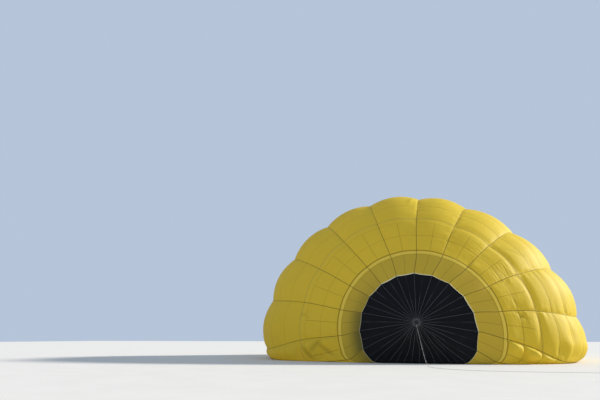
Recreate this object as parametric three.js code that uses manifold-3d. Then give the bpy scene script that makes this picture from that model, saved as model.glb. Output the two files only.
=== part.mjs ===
// Hot air balloon lying on its side on the ground while it is filled with cold air.
// The crown, with its vent and valve, faces -Y. The mouth, the burners and the basket lie towards +Y.
// +Z is up.
// All lengths are in millimetres.
import * as THREE from 'three';
import { mergeVertices } from 'three/addons/utils/BufferGeometryUtils.js';
import Module from 'manifold-3d';

const wasm = await Module();
wasm.setup();

// Driving dimensions
const GORES = 20;                 // sewn gores round the envelope
const SKIN = 10;                  // wall of the envelope shell
const SEAT = 0.3;                 // gap that pieces which touch keep
const PANEL = 1450;               // height of one cloth panel along a gore
const GORE_RUN = 19 * PANEL;      // from the edge of the vent to the mouth
const SEAM_GAP = SEAT / 2;        // each gore stops this far from its load tape's middle
const FOOT_ROUND = 700;           // how gently the wall turns onto the ground
const LOBE_FADE = 1200;           // lobes fade out below this height
const ACROSS = 4;                 // facets across a gore
const VALVE_LAP = PANEL;          // the valve reaches this far outside the edge of the vent
const VALVE_GAP = 10;             // it hangs this far clear of the cloth
const VALVE_BACK = 8;             // and this far behind the tapes that cross the vent

const CROWN = {
  y: -560, z: 2620, ring: 160, wire: 12, collar: 4, collarIn: 130, collarOut: 200, tapeFrom: 165,
};
const TAPE = { wide: 40, thick: 5 };
const HEM = 60;                   // width of the webbing round the mouth
const WIRE = 3;                   // radius of the steel flying wires

// The basket is drawn standing, on runners at z = 0, and then laid on its long side.
const BASKET = { long: 3600, wide: 1600, high: 1150, wall: 40, corner: 160 };
const RIM = { high: 84, proud: 25 };        // the padded rim stands proud of the wicker on both sides
const FOOT = { low: 40, high: 170 };        // leather band round the foot of the wicker, as proud as the rim
const FLOOR = { runner: 40, runnerWide: 90, thick: 25 };
const PILOT = 450;                // half length of the pilot's place in the middle
const STEP = { x: 1100, z: 520, wide: 220, high: 140 };   // foot holes in the long walls
const LAID_Y = 28000;             // where the runners lie once the basket is on its side

const POST = { x: 1160, y: 780, radius: 28 };
const FRAME = { x: 950, y: 560, z: 2080, tube: 20, block: 32, rail: 520 };
const LUG = { thick: 8, wide: 54, high: 58, hole: 13, bow: 24, bowWire: 6, wireTurn: 0.22 };
const GIMBAL = { half: 430, tube: 18, pin: 9, bore: 9.6 };
const BURNER = { spread: 190, radius: 165, foot: 30, high: 470, wall: 20, ribs: 5, ribDeep: 9 };
const TANK = { radius: 170, high: 880, x: 240, collar: 80, collarHigh: 60 };

const ROPE = 7;                   // radius of the crown line
const ROPE_COIL = { x: 10200, y: -6200, middle: 108, columns: 4, layers: 3 };

// The envelope's sections, from the vent to the mouth. Each section is an ellipse cut off by the ground.
const SECTION_COLUMNS = ['run', 'front', 'lean', 'half', 'side', 'top', 'wide', 'share', 'turn',
  'spread', 'lobe'];
// run: distance along a gore; front: where the section stands; lean: how far it leans back per unit of
// height; half: half width; side: sideways shift; top: height; wide: height of the widest point;
// share: part of the wall, from top to ground, that the fifth tape has come; turn: gores that the net is
// turned; spread: how far the tapes halfway down have slid from the top, as four times a share of the wall;
// lobe: how far a gore bellies out, as a share of its width.
const SECTIONS = [
  [0, 100, 0.12, 3920, 0, 6050, 2150, 0.74, 0.06, 0, -0.03],
  [1450, 450, 0.16, 5370, 120, 7550, 2300, 0.83, 0.12, 0.03, 0.01],
  [4350, 1200, 0.24, 8200, -260, 10720, 2500, 0.92, 0.27, 0.06, 0.05],
  [7250, 2300, 0.33, 10500, -500, 13180, 2700, 0.98, 0.33, 0.06, 0.075],
  [10150, 4300, 0.38, 11800, -520, 13560, 2800, 0.99, 0.36, 0.06, 0.085],
  [13050, 7300, 0.36, 12200, -550, 13560, 2700, 0.99, 0.36, 0.06, 0.085],
  [16000, 10600, 0.28, 11400, -500, 12650, 2500, 0.98, 0.28, 0.05, 0.085],
  [20000, 15000, 0.1, 8400, -300, 9700, 2200, 0.95, 0.1, 0.03, 0.075],
  [24000, 18900, -0.08, 4700, -100, 6200, 1900, 0.86, 0.04, 0, 0.05],
  [GORE_RUN, 21700, -0.2, 2350, 0, 3500, 1500, 0.76, 0, 0, 0],
].map((row) => Object.fromEntries(row.map((value, i) => [SECTION_COLUMNS[i], value])));

// Runs at which the shell has a ring of corners.
const RUNS = [0, PANEL, 2 * PANEL, 3 * PANEL, 4.5 * PANEL, 6 * PANEL, 7.5 * PANEL, 9 * PANEL, 10.5 * PANEL,
  12 * PANEL, 14 * PANEL, 16 * PANEL, GORE_RUN];

const materials = {
  yellowCloth: new THREE.MeshStandardMaterial({ color: 0xd9c43a, roughness: 0.7, metalness: 0 }),
  blackCloth: new THREE.MeshStandardMaterial({ color: 0x14151a, roughness: 0.75, metalness: 0 }),
  webbing: new THREE.MeshStandardMaterial({ color: 0x8f9094, roughness: 0.8, metalness: 0 }),
  rope: new THREE.MeshStandardMaterial({ color: 0xe8e6dc, roughness: 0.8, metalness: 0 }),
  steel: new THREE.MeshStandardMaterial({ color: 0xb8bcc0, roughness: 0.3, metalness: 1 }),
  wicker: new THREE.MeshStandardMaterial({ color: 0x9a6a38, roughness: 0.75, metalness: 0 }),
  leather: new THREE.MeshStandardMaterial({ color: 0x5b3a22, roughness: 0.6, metalness: 0 }),
  wood: new THREE.MeshStandardMaterial({ color: 0xb08a56, roughness: 0.6, metalness: 0 }),
  tank: new THREE.MeshStandardMaterial({ color: 0xc9ccce, roughness: 0.35, metalness: 1 }),
};

const balloon = new THREE.Group();

function addPiece(parent, name, geometry, material) {
  const mesh = new THREE.Mesh(geometry, material);
  mesh.name = name;
  parent.add(mesh);
  return mesh;
}

// Joining and cutting solids

function bare(geometry) {
  const copy = geometry.index ? geometry.toNonIndexed() : geometry.clone();
  const only = new THREE.BufferGeometry();
  only.setAttribute('position', copy.getAttribute('position'));
  return mergeVertices(only, 1e-3);
}

function solid(geometry) {
  const g = bare(geometry);
  return new wasm.Manifold(new wasm.Mesh({
    numProp: 3,
    vertProperties: new Float32Array(g.attributes.position.array),
    triVerts: new Uint32Array(g.index.array),
  }));
}

function geometryOf(manifold) {
  const mesh = manifold.getMesh();
  const g = new THREE.BufferGeometry();
  g.setAttribute('position', new THREE.BufferAttribute(new Float32Array(mesh.vertProperties), 3));
  g.setIndex(new THREE.BufferAttribute(new Uint32Array(mesh.triVerts), 1));
  return g;
}

function join(geometries, cuts = []) {
  let all = solid(geometries[0]);
  for (const g of geometries.slice(1)) all = all.add(solid(g));
  for (const g of cuts) all = all.subtract(solid(g));
  return geometryOf(all);
}

function box(x, y, z, wx, wy, wz) {
  return new THREE.BoxGeometry(wx, wy, wz).translate(x, y, z);
}

// A straight round bar between two points.
function bar(from, to, radius, sides = 10) {
  const along = new THREE.Vector3().subVectors(to, from);
  const g = new THREE.CylinderGeometry(radius, radius, along.length(), sides);
  const up = new THREE.Vector3(0, 1, 0);
  g.applyQuaternion(new THREE.Quaternion().setFromUnitVectors(up, along.clone().normalize()));
  const middle = from.clone().add(to).multiplyScalar(0.5);
  return g.translate(middle.x, middle.y, middle.z);
}

// A round post whose two ends are level although it slants.
function slantedPost(from, to, radius, sides = 12) {
  const high = to.z - from.z;
  const g = new THREE.CylinderGeometry(radius, radius, high, sides).rotateX(Math.PI / 2).translate(0, 0, high / 2);
  const shear = new THREE.Matrix4().set(
    1, 0, (to.x - from.x) / high, from.x,
    0, 1, (to.y - from.y) / high, from.y,
    0, 0, 1, from.z,
    0, 0, 0, 1,
  );
  return g.applyMatrix4(shear);
}

const at = (x, y, z) => new THREE.Vector3(x, y, z);

// A closed shell between two grids of points that have the same rows and columns.
function shellGeometry(outer, inner) {
  const rows = outer.length;
  const cols = outer[0].length;
  const points = [...outer.flat(), ...inner.flat()];
  const inside = rows * cols;
  const faces = [];
  const quad = (a, b, c, d) => faces.push(a, b, c, a, c, d);
  const id = (i, k) => i * cols + k;
  for (let i = 0; i + 1 < rows; i++) {
    for (let k = 0; k + 1 < cols; k++) {
      quad(id(i, k), id(i, k + 1), id(i + 1, k + 1), id(i + 1, k));
      quad(inside + id(i, k), inside + id(i + 1, k), inside + id(i + 1, k + 1), inside + id(i, k + 1));
    }
    quad(id(i, 0), id(i + 1, 0), inside + id(i + 1, 0), inside + id(i, 0));
    quad(id(i, cols - 1), inside + id(i, cols - 1), inside + id(i + 1, cols - 1), id(i + 1, cols - 1));
  }
  for (let k = 0; k + 1 < cols; k++) {
    quad(id(0, k + 1), id(0, k), inside + id(0, k), inside + id(0, k + 1));
    quad(id(rows - 1, k), id(rows - 1, k + 1), inside + id(rows - 1, k + 1), inside + id(rows - 1, k));
  }
  return facingOut(points, faces);
}

// Turns all faces round where they point inwards.
function facingOut(points, faces) {
  let volume = 0;
  for (let i = 0; i < faces.length; i += 3) {
    const [a, b, c] = [points[faces[i]], points[faces[i + 1]], points[faces[i + 2]]];
    volume += a.dot(new THREE.Vector3().crossVectors(b, c));
  }
  if (volume < 0) {
    for (let i = 0; i < faces.length; i += 3) [faces[i + 1], faces[i + 2]] = [faces[i + 2], faces[i + 1]];
  }
  const g = new THREE.BufferGeometry();
  g.setAttribute('position', new THREE.Float32BufferAttribute(points.flatMap((p) => [p.x, p.y, p.z]), 3));
  g.setIndex(faces);
  return g;
}

// The envelope's surface

// The section's values at a run, by smooth curves through the table.
function sectionAt(run) {
  const last = SECTIONS.length - 1;
  let i = 0;
  while (i < last - 1 && SECTIONS[i + 1].run < run) i++;
  const [a, b] = [SECTIONS[i], SECTIONS[i + 1]];
  const span = b.run - a.run;
  const s = (run - a.run) / span;
  const slope = (k, key) => {
    const [p, n] = [SECTIONS[Math.max(0, k - 1)], SECTIONS[Math.min(last, k + 1)]];
    return (n[key] - p[key]) / (n.run - p.run);
  };
  const out = { run };
  for (const key of SECTION_COLUMNS.slice(1)) {
    out[key] = a[key] * (1 + 2 * s) * (1 - s) ** 2 + b[key] * s * s * (3 - 2 * s)
      + slope(i, key) * span * s * (1 - s) ** 2 - slope(i + 1, key) * span * s * s * (1 - s);
  }
  return out;
}

// The wall of a section from its top to the ground, as points with their distance from the top.
function wallOf(section) {
  const rise = section.top - section.wide;
  const end = -Math.asin(Math.min(1, section.wide / rise));
  const steps = 120;
  const wall = [];
  for (let i = 0; i <= steps; i++) {
    const angle = Math.PI / 2 + (end - Math.PI / 2) * (i / steps);
    const [x, z] = [section.half * Math.cos(angle), section.wide + rise * Math.sin(angle)];
    const before = wall[i - 1];
    const way = before
      ? before.way + Math.hypot(x - before.x, (z - before.z) * Math.hypot(1, section.lean))
      : 0;
    wall.push({ x, z, way });
  }
  return wall;
}

// A point of the section's right half, at a distance from its top along the wall and then along the ground.
function alongSection(wall, way) {
  const foot = wall[wall.length - 1];
  const sharp = (w) => {
    if (w >= foot.way) return { x: foot.x - (w - foot.way), z: 0 };
    let i = 1;
    while (wall[i].way < w) i++;
    const s = (w - wall[i - 1].way) / (wall[i].way - wall[i - 1].way);
    return {
      x: wall[i - 1].x + s * (wall[i].x - wall[i - 1].x),
      z: wall[i - 1].z + s * (wall[i].z - wall[i - 1].z),
    };
  };
  const s = (way - foot.way + FOOT_ROUND) / (2 * FOOT_ROUND);
  if (s <= 0 || s >= 1) return sharp(way);
  const [a, b] = [sharp(foot.way - FOOT_ROUND), sharp(foot.way + FOOT_ROUND)];
  const [wa, wf, wb] = [(1 - s) ** 2, 2 * s * (1 - s), s * s];
  return { x: wa * a.x + wf * foot.x + wb * b.x, z: wa * a.z + wb * b.z };
}

const wallCache = new Map();

// A point of the smooth body under the lobes. Gore counts from the top tape, to +10 and -10 at the middle
// of the ground.
function bodyPoint(run, gore) {
  if (!wallCache.has(run)) {
    const section = sectionAt(run);
    wallCache.set(run, { section, wall: wallOf(section) });
  }
  const { section, wall } = wallCache.get(run);
  const half = GORES / 2;
  const wrapped = gore > half ? gore - GORES : gore < -half ? gore + GORES : gore;
  const turned = wrapped + section.turn * (1 - Math.abs(wrapped) / half);
  const foot = wall[wall.length - 1];
  const footGore = 5 / section.share;
  const place = Math.min(half, Math.abs(turned));
  const down = place / footGore;
  const way = place <= footGore
    ? (down + section.spread * down * (1 - down)) * foot.way
    : foot.way + ((place - footGore) / (half - footGore)) * foot.x;
  const p = alongSection(wall, way);
  const x = Math.sign(turned || 1) * p.x + section.side;
  return at(x, section.front + section.lean * p.z, p.z);
}

// The outward normal of that body.
function bodyNormal(run, gore) {
  const [dg, dr] = [0.02, 20];
  const low = Math.max(0, run - dr);
  const high = Math.min(GORE_RUN, run + dr);
  const acrossIt = bodyPoint(run, gore + dg).sub(bodyPoint(run, gore - dg));
  const alongIt = bodyPoint(high, gore).sub(bodyPoint(low, gore));
  return new THREE.Vector3().crossVectors(acrossIt, alongIt).normalize();
}

// A point of the cloth's outer face, on the lobe between two tapes.
function clothPoint(run, gore) {
  const left = Math.floor(gore + 1e-9);
  const v = gore - left;
  const p = bodyPoint(run, gore);
  if (v < 1e-9) return p;
  const wide = bodyPoint(run, left + 1).distanceTo(bodyPoint(run, left));
  const fade = THREE.MathUtils.smoothstep(p.z, 0, LOBE_FADE);
  p.addScaledVector(bodyNormal(run, gore), sectionAt(run).lobe * wide * 4 * v * (1 - v) * fade);
  p.z = Math.max(0, p.z);
  return p;
}

// A point at a depth under the cloth's outer face. Neighbouring gores share its direction at their seam.
function underCloth(run, gore, depth) {
  return clothPoint(run, gore).addScaledVector(bodyNormal(run, gore), -depth);
}

// Gore numbers run from the top of the crown's right side, all the way round.
function addGores() {
  for (let n = 0; n < GORES; n++) {
    const left = n < GORES / 2 ? n : n - GORES;
    const outer = [];
    const inner = [];
    for (const run of RUNS) {
      const wide = bodyPoint(run, left + 1).distanceTo(bodyPoint(run, left));
      const edge = SEAM_GAP / wide;
      const places = Array.from({ length: ACROSS + 1 },
        (_, k) => left + edge + (k / ACROSS) * (1 - 2 * edge));
      outer.push(places.map((g) => underCloth(run, g, 0)));
      inner.push(places.map((g) => underCloth(run, g, SKIN)));
    }
    const name = `gore_${String(n + 1).padStart(2, '0')}`;
    addPiece(balloon, name, shellGeometry(outer, inner), materials.yellowCloth);
  }
}

// The round valve panel closes the vent from inside. Its rim lies against the gores, its middle bellies out
// to the tapes that cross the vent.
function addValve() {
  const thick = 6;
  const behind = 50;
  const around = [];
  for (let n = 0; n < GORES * ACROSS; n++) around.push(n / ACROSS - GORES / 2);
  const rings = [];
  const rimPoint = (run, gore, depth) => {
    const p = underCloth(run, gore, depth);
    p.z = Math.max(p.z, depth);
    p.y += VALVE_BACK;
    return p;
  };
  for (const [side, extra] of [[0, 0], [1, thick]]) {
    const depth = SKIN + VALVE_GAP + extra;
    const middle = at(0, CROWN.y + behind + extra, CROWN.z);
    const lap = around.map((g) => rimPoint(VALVE_LAP, g, depth));
    const lip = around.map((g) => rimPoint(0, g, depth));
    const blend = (s, back) => lip.map((p) => p.clone().lerp(middle, s).add(at(0, back + extra * 0.4, 0)));
    rings[side] = [lap, lip, blend(0.12, 38), blend(0.5, 34), [middle]];
  }
  const points = [];
  const faces = [];
  const first = [];
  for (const side of [0, 1]) for (const ring of rings[side]) {
    first.push(points.length);
    points.push(...ring);
  }
  const count = around.length;
  const perSide = rings[0].length;
  const strip = (a, b, flip) => {
    for (let i = 0; i < count; i++) {
      const j = (i + 1) % count;
      const quad = flip
        ? [first[b] + i, first[b] + j, first[a] + j, first[a] + i]
        : [first[a] + j, first[b] + j, first[b] + i, first[a] + i];
      faces.push(quad[0], quad[1], quad[2], quad[0], quad[2], quad[3]);
    }
  };
  for (const side of [0, 1]) {
    const start = side * perSide;
    for (let r = 0; r + 2 < perSide; r++) strip(start + r, start + r + 1, side === 1);
    for (let i = 0; i < count; i++) {
      const last = first[start + perSide - 2];
      const tri = [last + i, last + ((i + 1) % count), first[start + perSide - 1]];
      if (side === 1) tri.reverse();
      faces.push(...tri);
    }
  }
  strip(0, perSide, true);
  addPiece(balloon, 'parachute_valve', facingOut(points, faces), materials.blackCloth);
}

// A load tape from the collar to the edge of the vent. Its end follows the edge of the cloth.
function tapeGeometry(tape) {
  const centre = at(0, CROWN.y, CROWN.z);
  const root = underCloth(0, tape, SKIN / 2);
  const out = root.clone().sub(centre).setY(0).normalize();
  const start = centre.clone().addScaledVector(out, CROWN.tapeFrom);
  const back = root.clone().sub(start).normalize().multiplyScalar(-3 * SEAT);
  const flank = new THREE.Vector3().crossVectors(out, at(0, 1, 0));
  const corner = (side, face) => {
    const depth = SKIN / 2 + face * TAPE.thick / 2;
    const near = underCloth(0, tape, depth);
    const far = underCloth(0, tape - side / ACROSS, depth);
    return near.clone().lerp(far, TAPE.wide / 2 / near.distanceTo(far)).add(back);
  };
  const foot = (side, face) => start.clone().addScaledVector(flank, side * TAPE.wide / 2)
    .add(at(0, face * TAPE.thick / 2, 0));
  const ends = [[1, -1], [-1, -1], [-1, 1], [1, 1]];
  const points = [...ends.map(([s, f]) => foot(s, f)), ...ends.map(([s, f]) => corner(s, f))];
  const quads = [[0, 1, 2, 3], [7, 6, 5, 4], [0, 4, 5, 1], [1, 5, 6, 2], [2, 6, 7, 3], [3, 7, 4, 0]];
  return facingOut(points, quads.flatMap(([p, q, r, t]) => [p, q, r, p, r, t]));
}

// The load tapes cross the vent and meet in a sewn collar behind the crown ring.
function addCrown() {
  const { collarIn, collarOut } = CROWN;
  const profile = [[collarIn, -1], [collarOut, -1], [collarOut, 1], [collarIn, 1], [collarIn, -1]];
  const collar = new THREE.LatheGeometry(profile.map(([r, h]) => new THREE.Vector2(r, h * CROWN.collar)), 40)
    .translate(0, CROWN.y, CROWN.z);
  const straps = Array.from({ length: GORES }, (_, n) => tapeGeometry(n + 1 - GORES / 2));
  addPiece(balloon, 'vent_tapes', join([collar, ...straps]), materials.webbing);
  const ring = new THREE.TorusGeometry(CROWN.ring, CROWN.wire, 8, 32).rotateX(Math.PI / 2)
    .translate(0, CROWN.y - CROWN.collar - CROWN.wire - SEAT, CROWN.z);
  addPiece(balloon, 'crown_ring', ring, materials.steel);
}

// A curve that lies on the ground where its points would bring it lower.
class LyingCurve extends THREE.CatmullRomCurve3 {
  getPoint(t, target) {
    const p = super.getPoint(t, target);
    p.z = Math.max(p.z, ROPE);
    return p;
  }
}

// The crown line hangs from the ring, lies on the ground to the right and ends in a coil.
function addCrownLine() {
  const ringY = CROWN.y - CROWN.collar - CROWN.wire - SEAT;
  const ringLow = CROWN.z - CROWN.ring - CROWN.wire - SEAT;
  const coilEdge = ROPE_COIL.middle + ROPE_COIL.columns * ROPE;
  const beside = ROPE_COIL.y - coilEdge + ROPE;
  const route = [
    at(0, ringY, ringLow),
    at(0, ringY, ringLow - 60),
    at(125, -870, 1660),
    at(260, -1250, 900),
    at(385, -1680, 300),
    at(480, -2150, 30),
    at(560, -2900, ROPE),
    at(900, -4300, ROPE),
    at(2400, -5700, ROPE),
    at(5000, -6300, ROPE),
    at(7800, -6200, ROPE),
    at(ROPE_COIL.x - 500, beside, ROPE),
    at(ROPE_COIL.x - 61, beside, ROPE),
  ];
  const section = new THREE.Shape(Array.from({ length: 8 }, (_, i) => {
    const angle = (i + 0.5) * Math.PI / 4;
    return new THREE.Vector2(Math.cos(angle), Math.sin(angle)).multiplyScalar(ROPE);
  }));
  const path = new LyingCurve(route, false, 'centripetal');
  const line = new THREE.ExtrudeGeometry(section, { steps: 80, bevelEnabled: false, extrudePath: path });
  addPiece(balloon, 'crown_line', line, materials.rope);

  const half = ROPE_COIL.columns * ROPE;
  const high = ROPE_COIL.layers * ROPE * 2;
  const profile = [[-half, 0], [half, 0], [half, high], [-half, high], [-half, 0]];
  const outline = profile.map(([r, z]) => new THREE.Vector2(ROPE_COIL.middle + r, z));
  const coil = new THREE.LatheGeometry(outline, 28)
    .rotateX(Math.PI / 2).translate(ROPE_COIL.x, ROPE_COIL.y, 0);
  addPiece(balloon, 'crown_line_coil', coil, materials.rope);
}

// A webbing hem goes all round the mouth.
function addMouthHem() {
  const around = Array.from({ length: GORES * ACROSS + 1 },
    (_, n) => (n % (GORES * ACROSS)) / ACROSS - GORES / 2);
  const beyond = (gore, depth, past) => underCloth(GORE_RUN, gore, depth).add(at(0, past, 0));
  const grid = (depth) => [SEAT, HEM].map((past) => around.map((gore) => beyond(gore, depth, past)));
  addPiece(balloon, 'mouth_hem', hoopGeometry(grid(0), grid(SKIN)), materials.webbing);
}

// A closed hoop between two grids whose last column repeats the first one.
function hoopGeometry(outer, inner) {
  const cols = outer[0].length - 1;
  const points = [outer[0], outer[1], inner[1], inner[0]].flatMap((row) => row.slice(0, cols));
  const faces = [];
  for (let side = 0; side < 4; side++) {
    const next = (side + 1) % 4;
    for (let k = 0; k < cols; k++) {
      const n = (k + 1) % cols;
      const [a, b, c, d] = [side * cols + k, side * cols + n, next * cols + n, next * cols + k];
      faces.push(b, c, d, b, d, a);
    }
  }
  return facingOut(points, faces);
}

// The basket and the burners, drawn standing and laid on a long side with the rim towards the envelope.
const carriage = new THREE.Group();
carriage.rotation.x = Math.PI / 2;
carriage.position.set(0, LAID_Y, BASKET.wide / 2 + RIM.proud);
carriage.updateMatrixWorld();
balloon.add(carriage);

const WALL_LOW = FLOOR.runner + FLOOR.thick + SEAT;
const WALL_TOP = BASKET.high - RIM.high - SEAT;

function roundedOutline(grow) {
  const [x, y, r] = [BASKET.long / 2 + grow, BASKET.wide / 2 + grow, BASKET.corner + grow];
  const shape = new THREE.Shape();
  shape.moveTo(x, y - r);
  shape.absarc(x - r, y - r, r, 0, Math.PI / 2);
  shape.absarc(r - x, y - r, r, Math.PI / 2, Math.PI);
  shape.absarc(r - x, r - y, r, Math.PI, Math.PI * 1.5);
  shape.absarc(x - r, r - y, r, Math.PI * 1.5, Math.PI * 2);
  return shape;
}

function extruded(shape, low, high) {
  return new THREE.ExtrudeGeometry(shape, { depth: high - low, bevelEnabled: false, curveSegments: 5 })
    .translate(0, 0, low);
}

function hoop(outerGrow, innerGrow, low, high) {
  const shape = roundedOutline(outerGrow);
  shape.holes.push(roundedOutline(innerGrow));
  return extruded(shape, low, high);
}

function addBasket() {
  const { long, wide, high, wall, corner } = BASKET;
  const runners = [-1300, 0, 1300].map((x) => (
    box(x, 0, FLOOR.runner / 2 + 2, FLOOR.runnerWide, wide - 200, FLOOR.runner + 4)));
  const deck = extruded(roundedOutline(0), FLOOR.runner, FLOOR.runner + FLOOR.thick);
  const ground = box(0, 0, -50, long * 2, wide * 2, 100);
  addPiece(carriage, 'basket_floor', join([deck, ...runners], [ground]), materials.wood);
  addPiece(carriage, 'foot_band', hoop(RIM.proud, SEAT, FOOT.low, FOOT.high), materials.leather);

  const tall = WALL_TOP - WALL_LOW;
  const middle = (WALL_TOP + WALL_LOW) / 2;
  for (const [name, side] of [['wall_lower', -1], ['wall_upper', 1]]) {
    const y = side * (wide - wall) / 2;
    const holes = [-1, 1].map((end) => box(end * STEP.x, y, STEP.z, STEP.wide, wall * 3, STEP.high));
    const panel = box(0, y, middle, long - 2 * corner, wall, tall);
    addPiece(carriage, name, join([panel], holes), materials.wicker);
  }
  for (const [name, end] of [['wall_left', -1], ['wall_right', 1]]) {
    const ring = hoop(0, -wall, WALL_LOW, WALL_TOP);
    const rest = box(-end * (corner - SEAT), 0, middle, long, wide * 2, tall * 2);
    addPiece(carriage, name, join([ring], [rest]), materials.wicker);
  }

  const inside = { x: long / 2 - wall - SEAT, y: wide / 2 - wall - SEAT };
  const lengthwise = inside.x - PILOT;
  for (const [name, end] of [['partition_left', -1], ['partition_right', 1]]) {
    const across = box(end * PILOT, 0, middle, wall, inside.y * 2, tall);
    const along = box(end * (PILOT + lengthwise / 2), 0, middle, lengthwise, wall, tall);
    addPiece(carriage, name, join([across, along]), materials.wicker);
  }

  const rimMiddle = high - RIM.high / 2;
  const rimWide = wall + 2 * RIM.proud;
  const bars = [-1, 1].flatMap((end) => [
    box(end * PILOT, 0, rimMiddle, rimWide, wide - wall, RIM.high),
    box(end * (PILOT + lengthwise / 2), 0, rimMiddle, lengthwise, rimWide, RIM.high),
  ]);
  const rim = hoop(RIM.proud, -wall - RIM.proud, high - RIM.high, high);
  addPiece(carriage, 'padded_rim', join([rim, ...bars]), materials.leather);

  for (const [i, [sx, sy]] of [[-1, -1], [1, -1], [1, 1], [-1, 1]].entries()) {
    const y = wide / 2 - wall - SEAT - TANK.radius;
    const tank = tankGeometry().translate(sx * TANK.x, sy * y, 0);
    addPiece(carriage, `gas_cylinder_${i + 1}`, tank, materials.tank);
  }
}

// A gas cylinder with rounded shoulders and a collar round its valve.
function tankGeometry() {
  const [low, top, r, c] = [WALL_LOW, WALL_LOW + TANK.high, TANK.radius, TANK.collar];
  const profile = [
    [0, low], [r - 40, low], [r, low + 40], [r, top - 130], [r - 30, top - 90],
    [c + 6, top - TANK.collarHigh], [c + 6, top], [c, top], [c, top - TANK.collarHigh + 8],
    [30, top - TANK.collarHigh + 12], [30, top - 14], [0, top - 14],
  ];
  return new THREE.LatheGeometry(profile.map(([x, z]) => new THREE.Vector2(x, z)), 16).rotateX(Math.PI / 2);
}

const CORNERS = [
  { name: 'upper_right', sx: 1, sy: 1, tapes: [0, 1, 2, 3, 4] },
  { name: 'lower_right', sx: 1, sy: -1, tapes: [5, 6, 7, 8, 9] },
  { name: 'lower_left', sx: -1, sy: -1, tapes: [10, -9, -8, -7, -6] },
  { name: 'upper_left', sx: -1, sy: 1, tapes: [-5, -4, -3, -2, -1] },
];

function addFrame() {
  const { x, y, z, tube, block, rail } = FRAME;
  const tubes = [];
  for (const side of [-1, 1]) {
    tubes.push(bar(at(-x, side * y, z), at(x, side * y, z), tube, 12));
    tubes.push(bar(at(side * x, -y, z), at(side * x, y, z), tube, 12));
    tubes.push(bar(at(side * rail, -y, z), at(side * rail, y, z), tube, 12));
  }
  const lugHole = z + block + LUG.high - LUG.wide / 2;
  for (const { sx, sy } of CORNERS) {
    tubes.push(box(sx * x, sy * y, z, 2 * block, 2 * block, 2 * block));
    tubes.push(box(sx * x, sy * y, z + block + LUG.high / 2 - 2, LUG.wide, LUG.thick, LUG.high + 4));
  }
  const bores = [bar(at(-x + 200, 0, z), at(x - 200, 0, z), GIMBAL.bore, 24)];
  for (const { sx, sy } of CORNERS) {
    bores.push(bar(at(sx * x, sy * y - 40, lugHole), at(sx * x, sy * y + 40, lugHole), LUG.hole, 16));
  }
  addPiece(carriage, 'burner_frame', join(tubes, bores), materials.steel);

  const low = BASKET.high + SEAT;
  for (const { name, sx, sy } of CORNERS) {
    const foot = at(sx * POST.x, sy * POST.y, low);
    const post = slantedPost(foot, at(sx * x, sy * y, z - block - SEAT), POST.radius);
    addPiece(carriage, `upright_${name}`, post, materials.leather);
  }

  // Each corner's five wires end in one bow through the lug.
  for (const { name, sx, sy, tapes } of CORNERS) {
    const bowAt = at(sx * x, sy * y, lugHole + LUG.bow + LUG.hole - LUG.bowWire - 1);
    const bow = new THREE.TorusGeometry(LUG.bow, LUG.bowWire, 6, 16).rotateY(Math.PI / 2)
      .translate(bowAt.x, bowAt.y, bowAt.z).applyMatrix4(carriage.matrixWorld);
    const wires = tapes.map((tape, i) => {
      const turn = (i - 2) * LUG.wireTurn;
      const start = at(bowAt.x, bowAt.y + LUG.bow * Math.sin(turn), bowAt.z + LUG.bow * Math.cos(turn))
        .applyMatrix4(carriage.matrixWorld);
      const end = underCloth(GORE_RUN, tape, SKIN / 2).add(at(0, HEM + WIRE, 0));
      end.z = Math.max(end.z, WIRE);
      return bar(start, end, WIRE, 6);
    });
    addPiece(balloon, `wires_${name}`, join([bow, ...wires]), materials.steel);
  }
}

function addBurners() {
  const gimbal = new THREE.Group();
  gimbal.position.z = FRAME.z;
  carriage.add(gimbal);
  const { half, tube, pin, bore } = GIMBAL;
  const bars = [];
  for (const side of [-1, 1]) {
    bars.push(bar(at(-half, side * half, 0), at(half, side * half, 0), tube, 12));
    bars.push(bar(at(side * half, -half, 0), at(side * half, half, 0), tube, 12));
    bars.push(bar(at(side * half, 0, 0), at(side * (FRAME.rail + FRAME.tube + 6), 0, 0), pin, 16));
  }
  for (const [sx, sy] of [[-1, -1], [1, -1], [1, 1], [-1, 1]]) {
    bars.push(box(sx * half, sy * half, 0, 2 * tube, 2 * tube, 2 * tube));
  }
  const bores = [bar(at(0, -half - 60, 0), at(0, half + 60, 0), bore, 24)];
  addPiece(gimbal, 'gimbal_ring', join(bars, bores), materials.steel);

  const arm = tube - 2;
  const blocks = [bar(at(0, -half - tube - 6, 0), at(0, half + tube + 6, 0), pin, 16)];
  blocks.push(bar(at(0, -half + tube + 22, 0), at(0, half - tube - 22, 0), arm, 12));
  for (const side of [-1, 1]) {
    const y = side * BURNER.spread;
    blocks.push(bar(at(-BURNER.spread, y, 0), at(BURNER.spread, y, 0), arm, 12));
    for (const end of [-1, 1]) {
      blocks.push(box(end * BURNER.spread, y, BURNER.foot / 2 - SEAT / 2, 60, 60, BURNER.foot - SEAT));
    }
  }
  addPiece(gimbal, 'burner_block', join(blocks), materials.steel);
  for (const [i, [sx, sy]] of [[-1, -1], [1, -1], [1, 1], [-1, 1]].entries()) {
    const can = burnerGeometry().translate(sx * BURNER.spread, sy * BURNER.spread, BURNER.foot);
    addPiece(gimbal, `burner_${i + 1}`, can, materials.steel);
  }
}

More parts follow.
